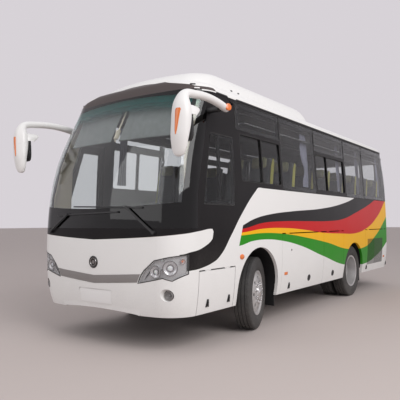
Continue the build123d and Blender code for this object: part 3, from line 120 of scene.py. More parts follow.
# Stripe boundaries along the side: distance behind the front axle, and height
STRIPE_TOP = (
    (-0.52, 1.39), (-0.45, 1.41), (-0.12, 1.50), (0.31, 1.56), (0.99, 1.61), (2.09, 1.67), (3.04, 1.77),
    (3.88, 1.93), (4.6, 2.2), (5.8, 2.5), (6.3, 2.6), (7.4, 2.6),
)
DARK_FOOT = (
    (-0.52, 1.36), (0.11, 1.44), (0.75, 1.46), (1.50, 1.46), (2.38, 1.46), (3.07, 1.49), (3.85, 1.62),
    (5.11, 1.91), (5.85, 2.2), (6.08, 2.57), (7.4, 2.59),
)
RED_FOOT = (
    (-0.52, 1.315), (0.11, 1.36), (0.75, 1.36), (1.49, 1.32), (2.06, 1.27), (3.05, 1.23), (3.83, 1.22),
    (4.53, 1.31), (5.23, 1.53), (6.23, 2.07), (7.4, 2.45),
)
YELLOW_FOOT = (
    (-0.52, 1.28), (0.10, 1.30), (0.79, 1.27), (1.49, 1.20), (2.36, 1.09), (3.42, 0.93), (4.33, 0.92),
    (5.10, 1.13), (6.13, 1.63), (7.4, 2.2),
)
GREEN_FOOT = (
    (-0.55, 1.15), (-0.20, 1.20), (0.18, 1.21), (0.61, 1.18), (1.22, 1.09), (2.17, 0.87), (3.35, 0.63),
    (4.40, 0.58), (5.22, 0.71), (6.07, 1.01), (7.4, 1.5),
)
# The girth at the front axle, and how far the stripes' start leans back with height
AXLE_GIRTH = 3.085
START_GIRTH = 2.535
START_LEAN = 0.385
# Where the body starts to turn round the tail's corner, and how soon the turn is full
TAIL_TURN_Y = 3.83
TAIL_TURN_RUN = 0.29
BAND_TOP_Z = 3.035
# The dark strip over the windshield: distance across and back round the corner, and height of its top
HEADER_EDGE = (
    (0.0, 3.255), (0.34, 3.25), (0.70, 3.16), (0.96, 3.11), (1.05, 3.093), (1.206, 3.09), (1.351, 3.088),
    (1.41, 3.06), (1.46, 3.035), (1.6, 3.03), (2.6, 3.03),
)
TAUPE = (0.085, 0.07, 0.068, 1.0)
GREEN = (0.018, 0.26, 0.006, 1.0)
YELLOW = (0.88, 0.46, 0.002, 1.0)
RED = (0.55, 0.006, 0.007, 1.0)
INK = (0.009, 0.008, 0.009, 1.0)
FRIT = (0.004, 0.004, 0.004, 1.0)
SHADE_GREEN = (0.06, 0.32, 0.27, 1.0)
WHITE = (0.80, 0.79, 0.775)
LINING = (0.12, 0.115, 0.11, 1.0)
# Painted shade of the engine grille's louvre gaps, mixed half into the side paint
GRILLE_GAP_SHADE = (0.02, 0.022, 0.02, 1.0)


def behind(distance: float) -> float:
    """Returns the place along the bus that lies a distance behind the front axle."""
    return FRONT_AXLE_Y + distance


def spread(first: float, last: float, count: int) -> list[float]:
    """Returns evenly spaced values, both ends among them."""
    return [first + (last - first) * i / count for i in range(count + 1)]


def circle(count: int, across: float, high: float | None = None) -> list[tuple[float, float]]:
    """Returns points round a circle, or round an ellipse if its second radius is given."""
    angles = (2 * pi * k / count for k in range(count))
    return [(across * cos(a), (across if high is None else high) * sin(a)) for a in angles]


def swell(value: float, power: float) -> float:
    """Returns a value raised to a power, with its sign kept."""
    return copysign(abs(value) ** power, value)


def bend(before: Vector, here: Vector, after: Vector, radius: float, steps: int) -> list[Vector]:
    """Rounds the corner of an outline.

    Args:
        before: the corner before it.
        here: the corner.
        after: the corner after it.
        radius: how far from the corner the rounding starts.
        steps: the divisions of the rounding.

    Returns:
        The points round the corner.
    """
    start = here + (before - here).normalized() * radius
    end = here + (after - here).normalized() * radius
    shares = (k / steps for k in range(steps + 1))
    return [start * (1 - t) ** 2 + here * 2 * t * (1 - t) + end * t * t for t in shares]


class Graph:
    """Adds and links the nodes of one shader tree."""

    def __init__(self, tree: bpy.types.NodeTree) -> None:
        """Keeps the node tree of a material, a world or a node group."""
        self.tree = tree

    def node(self, kind: str, **settings: object) -> Node:
        """Adds a node.

        Args:
            kind: the node's class name after "ShaderNode".
            settings: attributes to set on it.

        Returns:
            The new node.
        """
        made = self.tree.nodes.new("ShaderNode" + kind)
        for name, value in settings.items():
            setattr(made, name, value)
        return made

    def feed(self, socket: Socket, value: object) -> None:
        """Links a socket to an output, or sets its plain value."""
        if isinstance(value, Socket):
            self.tree.links.new(value, socket)
        else:
            socket.default_value = value

    def fill(self, node: Node, **values: object) -> Node:
        """Feeds a node's inputs.

        Args:
            node: the node.
            values: what its inputs get, with the spaces in their names written as underscores.

        Returns:
            The node.
        """
        for label, value in values.items():
            self.feed(node.inputs[label.replace("_", " ")], value)
        return node

    def math(self, operation: str, *values: object, clamp: bool = False) -> Socket:
        """Adds a Math node.

        Args:
            operation: its operation.
            values: its inputs.
            clamp: whether the result is kept from 0 to 1.

        Returns:
            Its output.
        """
        made = self.node("Math", operation=operation, use_clamp=clamp)
        for socket, value in zip(made.inputs, values):
            self.feed(socket, value)
        return made.outputs[0]

    def minus(self, first: object, second: object, clamp: bool = False) -> Socket:
        """Returns the first value less the second."""
        return self.math("SUBTRACT", first, second, clamp=clamp)

    def times(self, *values: object) -> Socket:
        """Returns the product of its values."""
        return reduce(lambda first, second: self.math("MULTIPLY", first, second), values)

    def ramp(self, value: object, gain: float, start: float, clamp: bool = False) -> Socket:
        """Returns a value times a gain, plus a start."""
        return self.math("MULTIPLY_ADD", value, gain, start, clamp=clamp)

    def above(self, value: object, edge: object) -> Socket:
        """Returns a mask that is 1 where a value lies above an edge, with 2 mm between."""
        return self.ramp(self.minus(value, edge), 1.0 / 0.002, 0.5, clamp=True)

    def mix(self, share: object, low: object, high: object) -> Socket:
        """Mixes two colours.

        Args:
            share: the second colour's share.
            low: the first colour.
            high: the second colour.

        Returns:
            The mixed colour.
        """
        made = self.node("Mix", data_type="RGBA")
        for number, value in ((0, share), (6, low), (7, high)):
            self.feed(made.inputs[number], value)
        return made.outputs[2]

    def curve(self, value: object, points: Points, reach: float, low: float, high: float) -> Socket:
        """Reads a smooth curve.

        Args:
            value: the place along the curve, from 0 to reach.
            points: places and heights.
            reach: the curve's length.
            low: the lowest height.
            high: the greatest height.

        Returns:
            The height.
        """
        made = self.node("FloatCurve")
        line = made.mapping.curves[0]
        for end, (_, height) in ((0, points[0]), (1, points[-1])):
            line.points[end].location = (float(end), (height - low) / (high - low))
        for at, height in points:
            if 0.0 < at < reach:
                line.points.new(at / reach, (height - low) / (high - low))
        made.mapping.extend = "HORIZONTAL"
        made.mapping.update()
        self.fill(made, Value=self.math("DIVIDE", value, reach, clamp=True))
        return self.ramp(made.outputs[0], high - low, low)

    def noise(self, vector: Socket, scale: object, detail: float) -> Socket:
        """Adds a Noise Texture and returns its value."""
        made = self.fill(self.node("TexNoise"), Vector=vector, Scale=scale, Detail=detail)
        return made.outputs["Fac"]

    def wave(self, vector: Socket, direction: str, scale: float) -> Socket:
        """Adds a Wave Texture and returns its value."""
        made = self.fill(self.node("TexWave", bands_direction=direction), Vector=vector, Scale=scale)
        return made.outputs["Fac"]

    def xyz(self, vector: Socket) -> tuple[Socket, ...]:
        """Splits a vector."""
        return tuple(self.fill(self.node("SeparateXYZ"), Vector=vector).outputs)


class Effect:
    """Shader groups that several finishes share."""

    made: dict[str, bpy.types.NodeTree] = {}

    @classmethod
    def start(cls, name: str, outputs: Sequence[str], **numbers: float) -> tuple[Graph, dict[str, Socket], Node]:
        """Starts a group that takes a place on the object and some numbers.

        Args:
            name: the group's name.
            outputs: what it gives; Colour is a colour, and the others are numbers.
            numbers: names and values of its other inputs.

        Returns:
            The group's graph, its inputs by name and its output node.
        """
        tree = bpy.data.node_groups.new(name, "ShaderNodeTree")
        tree.interface.new_socket("Place", in_out="INPUT", socket_type="NodeSocketVector")
        for label, value in numbers.items():
            socket = tree.interface.new_socket(label, in_out="INPUT", socket_type="NodeSocketFloat")
            socket.default_value = value
        for label in outputs:
            kind = "NodeSocketColor" if label == "Colour" else "NodeSocketFloat"
            tree.interface.new_socket(label, in_out="OUTPUT", socket_type=kind)
        cls.made[name] = tree
        given = {socket.name: socket for socket in tree.nodes.new("NodeGroupInput").outputs}
        return Graph(tree), given, tree.nodes.new("NodeGroupOutput")

    @classmethod
    def use(cls, graph: Graph, name: str, **values: object) -> dict[str, Socket]:
        """Places a group in a material.

        Args:
            graph: the material's graph.
            name: the group's name.
            values: what its inputs get.

        Returns:
            Its outputs by name.
        """
        if name not in cls.made:
            getattr(cls, name)()
        made = graph.tree.nodes.new("ShaderNodeGroup")
        made.node_tree = cls.made[name]
        graph.fill(made, **values)
        return {socket.name: socket for socket in made.outputs}

    @classmethod
    def road_dust(cls) -> None:
        """Makes dust that thickens towards the ground and clings in patches."""
        graph, given, out = cls.start("road_dust", ("Mask",), Top=1.0, Amount=0.3)
        _, _, z = graph.xyz(given["Place"])
        fall = graph.minus(1.0, graph.math("DIVIDE", z, given["Top"]), clamp=True)
        patches = graph.times(graph.noise(given["Place"], 3.5, 5.0), graph.noise(given["Place"], 60.0, 2.0))
        mask = graph.times(patches, 3.0, graph.ramp(fall, 0.9, 0.1))
        graph.fill(out, Mask=graph.math("MULTIPLY", mask, given["Amount"], clamp=True))

    @classmethod
    def fine_grain(cls) -> None:
        """Makes a small even grain, and a slow change in gloss over it."""
        graph, given, out = cls.start("fine_grain", ("Height", "Cloud"), Scale=400.0)
        grain = graph.noise(given["Place"], given["Scale"], 2.0)
        graph.fill(out, Height=grain, Cloud=graph.noise(given["Place"], 2.2, 4.0))

    @classmethod
    def stripe_livery(cls) -> None:
        """Makes the black window band and the swept black, red, yellow and green stripes."""
        graph, given, out = cls.start("stripe_livery", ("Colour", "Painted"))
        x, y, z = graph.xyz(given["Place"])
        across = graph.math("ABSOLUTE", x)
        turn = graph.ramp(y, 1 / TAIL_TURN_RUN, -TAIL_TURN_Y / TAIL_TURN_RUN, clamp=True)
        round_tail = graph.times(turn, graph.minus(2 * HALF_WIDTH, graph.times(across, 2.0)))
        girth = graph.math("ADD", graph.math("ADD", across, graph.minus(y, NOSE_Y)), round_tail)

        def past(points: Points, shift: float = 0.0) -> Socket:
            """Returns a mask above a boundary, whose places are moved to girth by a shift."""
            moved = [(at + shift, height) for at, height in points]
            return graph.above(z, graph.curve(girth, moved, BODY_GIRTH, 0.3, 2.6))

        beak = graph.times(graph.minus(1.0, past(BEAK_TOP)), past(BEAK_FOOT))
        black = graph.times(
            past(BLACK_FOOT), graph.minus(1.0, beak),
            graph.above(behind(BAND_ENDS[-1]) - NOSE_Y + HALF_WIDTH, girth), graph.above(BAND_TOP_Z, z),
        )
        slant = graph.minus(girth, graph.times(z, START_LEAN))
        started = graph.above(slant, START_GIRTH - START_LEAN * GREEN_FOOT[0][1])
        colour = GREEN
        for points, next_colour in ((YELLOW_FOOT, YELLOW), (RED_FOOT, RED), (DARK_FOOT, INK)):
            colour = graph.mix(past(points, AXLE_GIRTH), colour, next_colour)
        ended = graph.minus(1.0, past(STRIPE_TOP, AXLE_GIRTH))
        striped = graph.times(started, past(GREEN_FOOT, AXLE_GIRTH), ended)
        painted = graph.math("MAXIMUM", striped, black)
        graph.fill(out, Colour=graph.mix(black, colour, INK), Painted=painted)


@dataclass(frozen=True)
class Dust:
    """Road dust on a finish: how high it reaches, how much of it there is and its colour."""

    top: float
    amount: float
    colour: tuple[float, float, float, float]


@dataclass(frozen=True)
class Finish:
    """A surface finish that becomes one material."""

    name: str
    colour: tuple[float, float, float] = (0.5, 0.5, 0.5)
    roughness: float = 0.5

    @property
    def base(self) -> tuple[float, ...]:
        """The colour with its alpha."""
        return (*self.colour, 1.0)

    def build(self) -> bpy.types.Material:
        """Makes the material, once.

        Returns:
            The material.
        """
        name = "coach_" + self.name
        if name not in bpy.data.materials:
            material = bpy.data.materials.new(name)
            material.use_nodes = True
            graph = Graph(material.node_tree)
            shader = material.node_tree.nodes["Principled BSDF"]
            graph.fill(shader, Base_Color=self.base, Roughness=self.roughness)
            self.dress(graph, shader, graph.node("TexCoord").outputs["Object"])
        return bpy.data.materials[name]

    def bump(self, graph: Graph, shader: Node, height: Socket, strength: float, depth: float) -> None:
        """Feeds a height to the shader's normal."""
        made = graph.fill(graph.node("Bump"), Strength=strength, Distance=depth, Height=height)
        graph.fill(shader, Normal=made.outputs[0])

    def soil(self, graph: Graph, place: Socket, base: object, dust: Dust) -> tuple[Socket, Socket]:
        """Lays dust over a colour and returns the new colour and the dust's mask."""
        mask = Effect.use(graph, "road_dust", Place=place, Top=dust.top, Amount=dust.amount)["Mask"]
        return graph.mix(mask, base, dust.colour), mask

    def grain(
        self, graph: Graph, shader: Node, place: Socket, bump: tuple[float, float], sway: float, scale: float = 400.0
    ) -> Socket:
        """Adds a fine grain to the normal.

        Args:
            graph: the material's graph.
            shader: its shader.
            place: its Object coordinates.
            bump: the grain's strength and depth.
            sway: how far the roughness changes over the surface.
            scale: the grain's scale.

        Returns:
            The changing roughness.
        """
        made = Effect.use(graph, "fine_grain", Place=place, Scale=scale)
        self.bump(graph, shader, made["Height"], *bump)
        return graph.ramp(made["Cloud"], sway, self.roughness - sway / 2)

    def dress(self, graph: Graph, shader: Node, place: Socket) -> None:
        """Gives the plain finish a fine grain and a changing gloss."""
        graph.fill(shader, Roughness=self.grain(graph, shader, place, (0.15, 0.0005), 0.16))


@dataclass(frozen=True)
class CoachPaint(Finish):
    """Gloss paint with the livery outside and a plain lining inside."""

    striped: bool = True
    header: bool = False
    dust: Dust = Dust(1.3, 0.14, (0.36, 0.33, 0.30, 1.0))

    def outside(self, graph: Graph, place: Socket) -> object:
        """Paints the outer faces.

        Args:
            graph: the material's graph.
            place: its Object coordinates.

        Returns:
            Their colour.
        """
        x, y, z = graph.xyz(place)
        base: object = self.base
        if self.striped:
            livery = Effect.use(graph, "stripe_livery", Place=place)
            base = graph.mix(livery["Painted"], base, livery["Colour"])
            # The engine grille is not modelled: a half-dark patch over the livery stands for its louvre gaps, as
            # painted shade
            masks = [graph.above(graph.math("ABSOLUTE", x), 1.12)]
            for value, low, high in ((y, behind(4.59), behind(5.66)), (z, 0.545, 1.085)):
                masks += [graph.above(value, low), graph.above(high, value)]
            base = graph.mix(graph.times(*masks, 0.55), base, GRILLE_GAP_SHADE)
        if self.header:
            back = graph.math("MAXIMUM", graph.math("ADD", y, 3.3), 0.0)
            span = graph.math("ADD", graph.math("ABSOLUTE", x), back)
            edge = graph.curve(span, HEADER_EDGE, HEADER_EDGE[-1][0], 2.9, 3.3)
            base = graph.mix(graph.above(edge, z), base, TAUPE)
        return base

    def dress(self, graph: Graph, shader: Node, place: Socket) -> None:
        """Paints the outer faces, the dust on them and the inner faces."""
        base, mask = self.soil(graph, place, self.outside(graph, place), self.dust)
        x, y, z = graph.xyz(place)
        nx, ny, nz = graph.xyz(graph.node("NewGeometry").outputs["True Normal"])
        held = graph.math("MINIMUM", graph.math("MAXIMUM", y, -2.6), 2.9)
        outward = graph.math("ADD", graph.times(nx, x), graph.times(ny, graph.minus(y, held)))
        roofed = graph.times(nz, graph.above(z, GUTTER_Z))
        inner = graph.above(-0.05, graph.math("ADD", outward, roofed))
        gloss = self.grain(graph, shader, place, (0.03, 0.0006), 0.12, 260.0)
        graph.fill(
            shader, Base_Color=graph.mix(inner, base, LINING), Coat_Weight=0.04, Coat_Roughness=0.08, IOR=1.22,
            Roughness=graph.math("ADD", gloss, graph.times(mask, 0.5)), Specular_IOR_Level=0.4,
        )


@dataclass(frozen=True)
class Pane(Finish):
    """Clear or tinted glass."""

    frit: bool = False

    def dress(self, graph: Graph, shader: Node, place: Socket) -> None:
        """Makes it see-through, with a green top shade and black edges on the windshield."""
        gloss = graph.ramp(graph.noise(place, 4.0, 4.0), 0.03, 0.005)
        graph.fill(shader, Transmission_Weight=1.0, IOR=1.45 if self.frit else 1.2, Roughness=gloss)
        if not self.frit:
            return
        x, _, z = graph.xyz(place)
        bulge = graph.times(x, x)
        arch = graph.ramp(bulge, -0.05, 3.0)
        shade = graph.ramp(graph.minus(z, arch), 3.2, 0.75, clamp=True)
        side = graph.ramp(graph.minus(z, 2.0, clamp=True), -0.055, 1.145)
        black = reduce(
            lambda first, second: graph.math("MAXIMUM", first, second),
            (graph.above(z, graph.math("ADD", arch, 0.02)), graph.above(graph.math("ABSOLUTE", x), side),
             graph.above(graph.ramp(bulge, 0.04, 1.62), z)),
        )
        colour = graph.mix(black, graph.mix(shade, self.base, SHADE_GREEN), FRIT)
        shadow = graph.node("LightPath").outputs["Is Shadow Ray"]
        graph.fill(shader, Alpha=graph.ramp(shadow, -0.6, 1.0), Base_Color=colour)


@dataclass(frozen=True)
class Clear(Finish):
    """Clear moulded cover whose grey shows more where it is seen at a slant, a painted reflection on top of the
    shader's own.
    """

    def dress(self, graph: Graph, shader: Node, place: Socket) -> None:
        """Lets most light straight through."""
        # Painted reflection: the grey base shows more at a slant, as the cover's reflection would
        slant = graph.math("POWER", graph.node("LayerWeight").outputs["Facing"], 3.0)
        gloss = graph.ramp(graph.noise(place, 4.0, 4.0), 0.05, 0.02)
        graph.fill(shader, Alpha=graph.ramp(slant, 0.45, 0.10), Roughness=gloss)


@dataclass(frozen=True)
class Film(Finish):
    """Tinted film that fades out downwards."""

    def dress(self, graph: Graph, shader: Node, place: Socket) -> None:
        """Fades the film from the top of the glass."""
        x, _, z = graph.xyz(place)
        arch = graph.ramp(graph.times(x, x), -0.06, 2.98)
        fade = graph.ramp(graph.minus(z, arch), 6.5, 1.1, clamp=True)
        graph.fill(shader, Alpha=graph.times(fade, 0.96), Specular_IOR_Level=0.0)


@dataclass(frozen=True)
class Metal(Finish):
    """Bare or silver-painted metal."""

    metallic: float = 1.0
    dust: Dust = Dust(1.5, 0.35, (0.20, 0.18, 0.16, 1.0))

    def dress(self, graph: Graph, shader: Node, place: Socket) -> None:
        """Adds dust and a changing gloss."""
        base, _ = self.soil(graph, place, self.base, self.dust)
        gloss = self.grain(graph, shader, place, (0.12, 0.0005), 0.2)
        graph.fill(shader, Base_Color=base, Metallic=self.metallic, Roughness=gloss)


@dataclass(frozen=True)
class Rubber(Finish):
    """Tyre and seal rubber."""

    dust: Dust = Dust(1.6, 0.55, (0.13, 0.12, 0.11, 1.0))

    def dress(self, graph: Graph, shader: Node, place: Socket) -> None:
        """Adds dust and a soft grain."""
        graph.fill(shader, Base_Color=self.soil(graph, place, self.base, self.dust)[0])
        self.grain(graph, shader, place, (0.3, 0.0008), 0.0, 300.0)


@dataclass(frozen=True)
class Cloth(Finish):
    """Woven fabric."""

    thread: float = 900.0

    def dress(self, graph: Graph, shader: Node, place: Socket) -> None:
        """Adds the weave, a cloudy shade and a little sheen."""
        weave = graph.times(*(graph.wave(place, direction, self.thread) for direction in ("X", "Z")))
        self.bump(graph, shader, weave, 0.3, 0.0006)
        darker = (*(0.62 * c for c in self.colour), 1.0)
        shade = graph.mix(graph.noise(place, 14.0, 4.0), self.base, darker)
        graph.fill(shader, Base_Color=shade, Sheen_Weight=0.25)


@dataclass(frozen=True)
class Lens(Finish):
    """Coloured lamp lens with moulded ribs."""

    def dress(self, graph: Graph, shader: Node, place: Socket) -> None:
        """Adds the ribs."""
        self.bump(graph, shader, graph.wave(place, "X", 28.0), 0.25, 0.001)
        graph.fill(shader, Coat_Weight=0.8, Subsurface_Weight=0.1)


class Look(Enum):
    """The finishes of the bus."""

    BODY = CoachPaint("body_paint", WHITE, 0.30)
    PLAIN_WHITE = CoachPaint("plain_white_paint", WHITE, 0.30, striped=False)
    ROOF = CoachPaint("roof_paint", WHITE, 0.30, striped=False, header=True)
    SIDE_GLASS = Pane("side_window_glass", (0.78, 0.80, 0.80))
    WINDSHIELD = Pane("windshield_glass", (0.83, 0.88, 0.87), frit=True)
    # The lamp glass's grey is what shows at a slant, as painted reflection
    LAMP_GLASS = Clear("lamp_glass", (0.40, 0.40, 0.41))
    FRAME = Metal("frame_steel", (0.035, 0.035, 0.037), 0.5, metallic=0.0)
    RIM = Metal("rim_silver", (0.62, 0.61, 0.61), 0.36, metallic=0.5)
    SHEET = Metal("bay_sheet", (0.42, 0.43, 0.44), 0.45)
    CHROME = Metal("lamp_reflector", (0.85, 0.85, 0.86), 0.12)
    IRON = Metal("engine_iron", (0.10, 0.105, 0.11), 0.6, metallic=0.3)
    TYRE = Rubber("tyre_rubber", (0.018, 0.018, 0.019), 0.72)
    SEAL = Rubber("seal_rubber", (0.012, 0.012, 0.012), 0.6)
    BLACK_TRIM = Finish("black_trim", (0.016, 0.016, 0.017), 0.45)
    DASH = Finish("dash_trim", (0.035, 0.035, 0.038), 0.6)
    GREY_TRIM = Finish("grey_trim", (0.13, 0.132, 0.132), 0.55)
    PALE_TRIM = Finish("pale_trim", (0.66, 0.57, 0.46), 0.6)
    FLOORING = Finish("floor_covering", (0.06, 0.06, 0.063), 0.7)
    MIRROR_SHELL = Finish("mirror_shell", WHITE, 0.3)
    SEAT = Cloth("seat_cloth", (0.055, 0.058, 0.062), 0.85)
    SEAT_SIDE = Finish("seat_side_cover", (0.40, 0.38, 0.08), 0.6)
    HEADREST = Cloth("headrest_cloth", (0.19, 0.185, 0.09), 0.85)
    DRIVER_SEAT = Cloth("driver_seat_cloth", (0.09, 0.09, 0.10), 0.85)
    CURTAIN = Cloth("curtain_cloth", (0.36, 0.36, 0.46), 0.8)
    BLIND = Cloth("blind_cloth", (0.26, 0.27, 0.27), 0.8)
    LAMP_TRAY = Metal("lamp_tray", (0.60, 0.60, 0.61), 0.34, metallic=0.3)
    MIRROR_METAL = Metal("mirror_metal", (0.92, 0.92, 0.93), 0.10)
    LAMP_BOWL = Metal("lamp_bowl", (0.78, 0.78, 0.80), 0.22, metallic=0.55)
    SHADE = Film("shade_film", (0.0, 0.15, 0.15), 0.4)
    BULB = Lens("bulb_glass", (0.85, 0.86, 0.88), 0.1)
    SATIN_GREY = Metal("satin_grey", (0.30, 0.285, 0.28), 0.4, metallic=0.5)
    GLOSS_BLACK = Finish("gloss_black", (0.018, 0.016, 0.016), 0.2)
    DARK_CHROME = Metal("dark_chrome", (0.33, 0.32, 0.32), 0.22)
    PLATE = Finish("blank_plate", (0.80, 0.79, 0.78), 0.45)
    ORANGE = Lens("orange_lens", (0.75, 0.17, 0.02), 0.2)
    RED = Lens("red_lens", (0.45, 0.012, 0.012), 0.2)


@dataclass
class Bodywork:
    """The CAD nodes' finishes; a node that isn't listed is body paint."""

    dressed: tuple[tuple[Look, str], ...] = (
        (Look.ROOF, "air_conditioner_cover roof"),
        (Look.FRAME, "chassis_frame door_arm front_axle knuckle_left knuckle_right rear_axle"),
        (Look.DASH, "dashboard"),
        (Look.SIDE_GLASS, "door_glass window_glass"),
        (Look.IRON, "engine_block"),
        (Look.FLOORING, "floor"),
        (Look.LAMP_GLASS, "front_lamps"),
        (Look.SHEET, "luggage_bay"),
        (Look.GREY_TRIM, "luggage_racks"),
        (Look.MIRROR_SHELL, "mirrors"),
        (Look.SEAT, "seats"),
        (Look.BLIND, "sun_blinds"),
        (Look.RED, "tail_lamps"),
        (Look.TYRE, "tyre_front_left tyre_front_right tyres_rear_left tyres_rear_right"),
        (Look.RIM, "wheel_front_left wheel_front_right wheels_rear_left wheels_rear_right"),
        (Look.BLACK_TRIM, "wheel_housings wipers"),
        (Look.WINDSHIELD, "windshield"),
    )

    def build(self) -> None:
        """Gives each node its material."""
        finishes = {name: finish for finish, names in self.dressed for name in names.split()}
        for name, node in frame["nodes"].items():
            node.data.materials.clear()
            node.data.materials.append(finishes.get(name, Look.BODY).value.build())


class Skin:
    """The outer surface of CAD nodes or pieces, for laying details on it."""

    def __init__(self, *sources: str | bpy.types.Object) -> None:
        """Joins meshes into one search tree.

        Args:
            sources: names of CAD nodes, or finished pieces.
        """
        points: list[Vector] = []
        faces: list[list[int]] = []
        for source in sources:
            data = (frame["nodes"][source] if isinstance(source, str) else source).data
            start = len(points)
            points.extend(vertex.co.copy() for vertex in data.vertices)
            faces.extend([start + i for i in polygon.vertices] for polygon in data.polygons)
        self.tree = BVHTree.FromPolygons(points, faces)

    def hit(self, start: Vector, way: Vector) -> Spot:
        """Finds the first surface point on a line.

        Args:
            start: where the line starts.
            way: where it goes.

        Returns:
            The point, and the normal there, facing back along the line.
        """
        point, normal, _, _ = self.tree.ray_cast(start, way)
        if point is None:
            point, normal, _, _ = self.tree.find_nearest(start)
        return point, -normal if normal.dot(way) > 0 else normal

    def side(self, y: float, z: float, way: int = 1) -> Spot:
        """Returns the surface of the left (1) or right (-1) side."""
        return self.hit(Vector((3.0 * way, y, z)), Vector((-1.0 * way, 0.0, 0.0)))

    def front(self, x: float, z: float) -> Spot:
        """Returns the surface of the nose."""
        return self.hit(Vector((x, -6.0, z)), BACKWARD)

    def back(self, x: float, z: float) -> Spot:
        """Returns the surface of the tail."""
        return self.hit(Vector((x, 6.0, z)), FORWARD)


def facing(place: Vector, normal: Vector, up: Vector = UP) -> Matrix:
    """Makes a frame on a surface.

    Args:
        place: the frame's place.
        normal: its Z.
        up: where its Y leans to.

    Returns:
        The frame.
    """
    z = normal.normalized()
    x = up.cross(z)
    x = x.normalized() if x.length > 1e-6 else Vector((1.0, 0.0, 0.0))
    return Matrix.Translation(place) @ Matrix((x, z.cross(x), z)).transposed().to_4x4()


class Form:
    """Builds one mesh piece from several shapes."""

    def __init__(self) -> None:
        """Starts empty."""
        self.mesh = bmesh.new()

    def lathe(self, profile: Points, steps: int, place: Matrix) -> list[bmesh.types.BMVert]:
        """Turns a profile about the place's Z, as a ring unless the profile meets the axis.

        Args:
            profile: heights along Z and radii.
            steps: how many segments.
            place: the frame of the axis.

        Returns:
            The new vertices.
        """
        before = set(self.mesh.verts)
        corners = [self.mesh.verts.new((radius, 0.0, height)) for height, radius in profile]
        pairs = list(zip(corners, corners[1:]))
        if all(radius > 0.0 for _, radius in profile):
            pairs.append((corners[-1], corners[0]))
        edges = [self.mesh.edges.new(pair) for pair in pairs]
        bmesh.ops.spin(
            self.mesh, geom=corners + edges, cent=(0, 0, 0), axis=(0, 0, 1), steps=steps,
            angle=2 * pi, use_merge=True,
        )
        made = [vert for vert in self.mesh.verts if vert not in before]
        bmesh.ops.transform(self.mesh, matrix=place, verts=made)
        return made

    def block(self, low: Sequence[float], high: Sequence[float], place: Matrix = Matrix()) -> None:
        """Adds a box between two corners of a place."""
        middle = Matrix.Translation((Vector(high) + Vector(low)) / 2)
        scale = Matrix.Diagonal((*(Vector(high) - Vector(low)), 1.0))
        bmesh.ops.create_cube(self.mesh, size=1.0, matrix=place @ middle @ scale)

    def prism(self, outline: Points, low: float, high: float, place: Matrix) -> None:
        """Adds an upright prism.

        Args:
            outline: its corners in the place's X and Y.
            low: its foot along Z.
            high: its top along Z.
            place: its frame.
        """
        foot, top = (
            [self.mesh.verts.new(place @ Vector((x, y, z))) for x, y in outline] for z in (low, high)
        )
        self.mesh.faces.new(foot[::-1])
        self.mesh.faces.new(top)
        self.join(foot, top, True)

    def join(self, low: Sequence, high: Sequence, closed: bool) -> None:
        """Adds the faces between two rows of vertices."""
        for i in range(len(low) if closed else len(low) - 1):
            j = (i + 1) % len(low)
            self.mesh.faces.new((low[i], low[j], high[j], high[i]))

    def sweep(self, path: Sequence[Spot], section: Points, closed: bool = False) -> None:
        """Runs a section along a path.

        Args:
            path: points and the normal of what the section lies on.
            section: points as (across, off the surface).
            closed: whether the path's end joins its start.
        """
        rings = []
        count = len(path)
        for i, (point, normal) in enumerate(path):
            before = path[i - 1][0] if i or closed else point
            after = path[(i + 1) % count][0] if i + 1 < count or closed else point
            along = (after - before).normalized()
            across = along.cross(normal).normalized()
            out = across.cross(along).normalized()
            rings.append([self.mesh.verts.new(point + across * a + out * b) for a, b in section])
        if closed:
            rings.append(rings[0])
        else:
            self.mesh.faces.new(rings[0][::-1])
            self.mesh.faces.new(rings[-1])
        for first, second in zip(rings, rings[1:]):
            self.join(first, second, True)

    def sheet(self, rows: list[list[Vector]], closed: bool = False) -> None:
        """Adds a grid of faces.

        Args:
            rows: its points, row by row.
            closed: whether each row closes on itself, with the first and last rows capped.
        """
        lines = [[self.mesh.verts.new(point) for point in row] for row in rows]
        for low, high in zip(lines, lines[1:]):
            self.join(low, high, closed)
        if closed:
            self.mesh.faces.new(lines[0])
            self.mesh.faces.new(lines[-1])

    def thicken(self, depth: float) -> None:
        """Gives open sheets a thickness against their normals."""
        bmesh.ops.recalc_face_normals(self.mesh, faces=self.mesh.faces[:])
        bmesh.ops.solidify(self.mesh, geom=self.mesh.faces[:], thickness=depth)

    def piece(
        self, name: str, finish: Look, body: str = "body", slot: str = "black_trim",
        smooth: float = 35.0, rounded: float = 0.0,
    ) -> bpy.types.Object:
        """Look the piece.

        Args:
            name: its name.
            finish: its finish.
            body: the CAD body that it rides on.
            slot: not used.
            smooth: the angle in degrees up to which edges are shaded smooth.
            rounded: the width of its bevelled edges.

        Returns:
            The object, riding on its body.
        """
        bmesh.ops.remove_doubles(self.mesh, verts=self.mesh.verts[:], dist=1e-5)
        limit = radians(smooth)
        if rounded:
            sharp = [
                edge for edge in self.mesh.edges
                if len(edge.link_faces) == 2 and edge.calc_face_angle(0.0) > limit
            ]
            bmesh.ops.bevel(
                self.mesh, geom=sharp, offset=rounded, offset_type="OFFSET", affect="EDGES",
                segments=2, profile=0.5, material=-1, clamp_overlap=True,
            )
        bmesh.ops.recalc_face_normals(self.mesh, faces=self.mesh.faces[:])
        for face in self.mesh.faces:
            face.smooth = True
        for edge in self.mesh.edges:
            edge.smooth = edge.calc_face_angle(0.0) < limit
        made = placed(name, self.mesh)
        made.data.materials.append(finish.value.build())
        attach(made, body)
        return made


def placed(name: str, mesh: bmesh.types.BMesh) -> bpy.types.Object:
    """Turns a bmesh into an object of the scene, and frees it.

    Args:
        name: the object's name.
        mesh: its shape.

    Returns:
        The object.
    """
    data = bpy.data.meshes.new(name)
    mesh.to_mesh(data)
    mesh.free()
    made = bpy.data.objects.new(name, data)
    bpy.context.collection.objects.link(made)
    return made


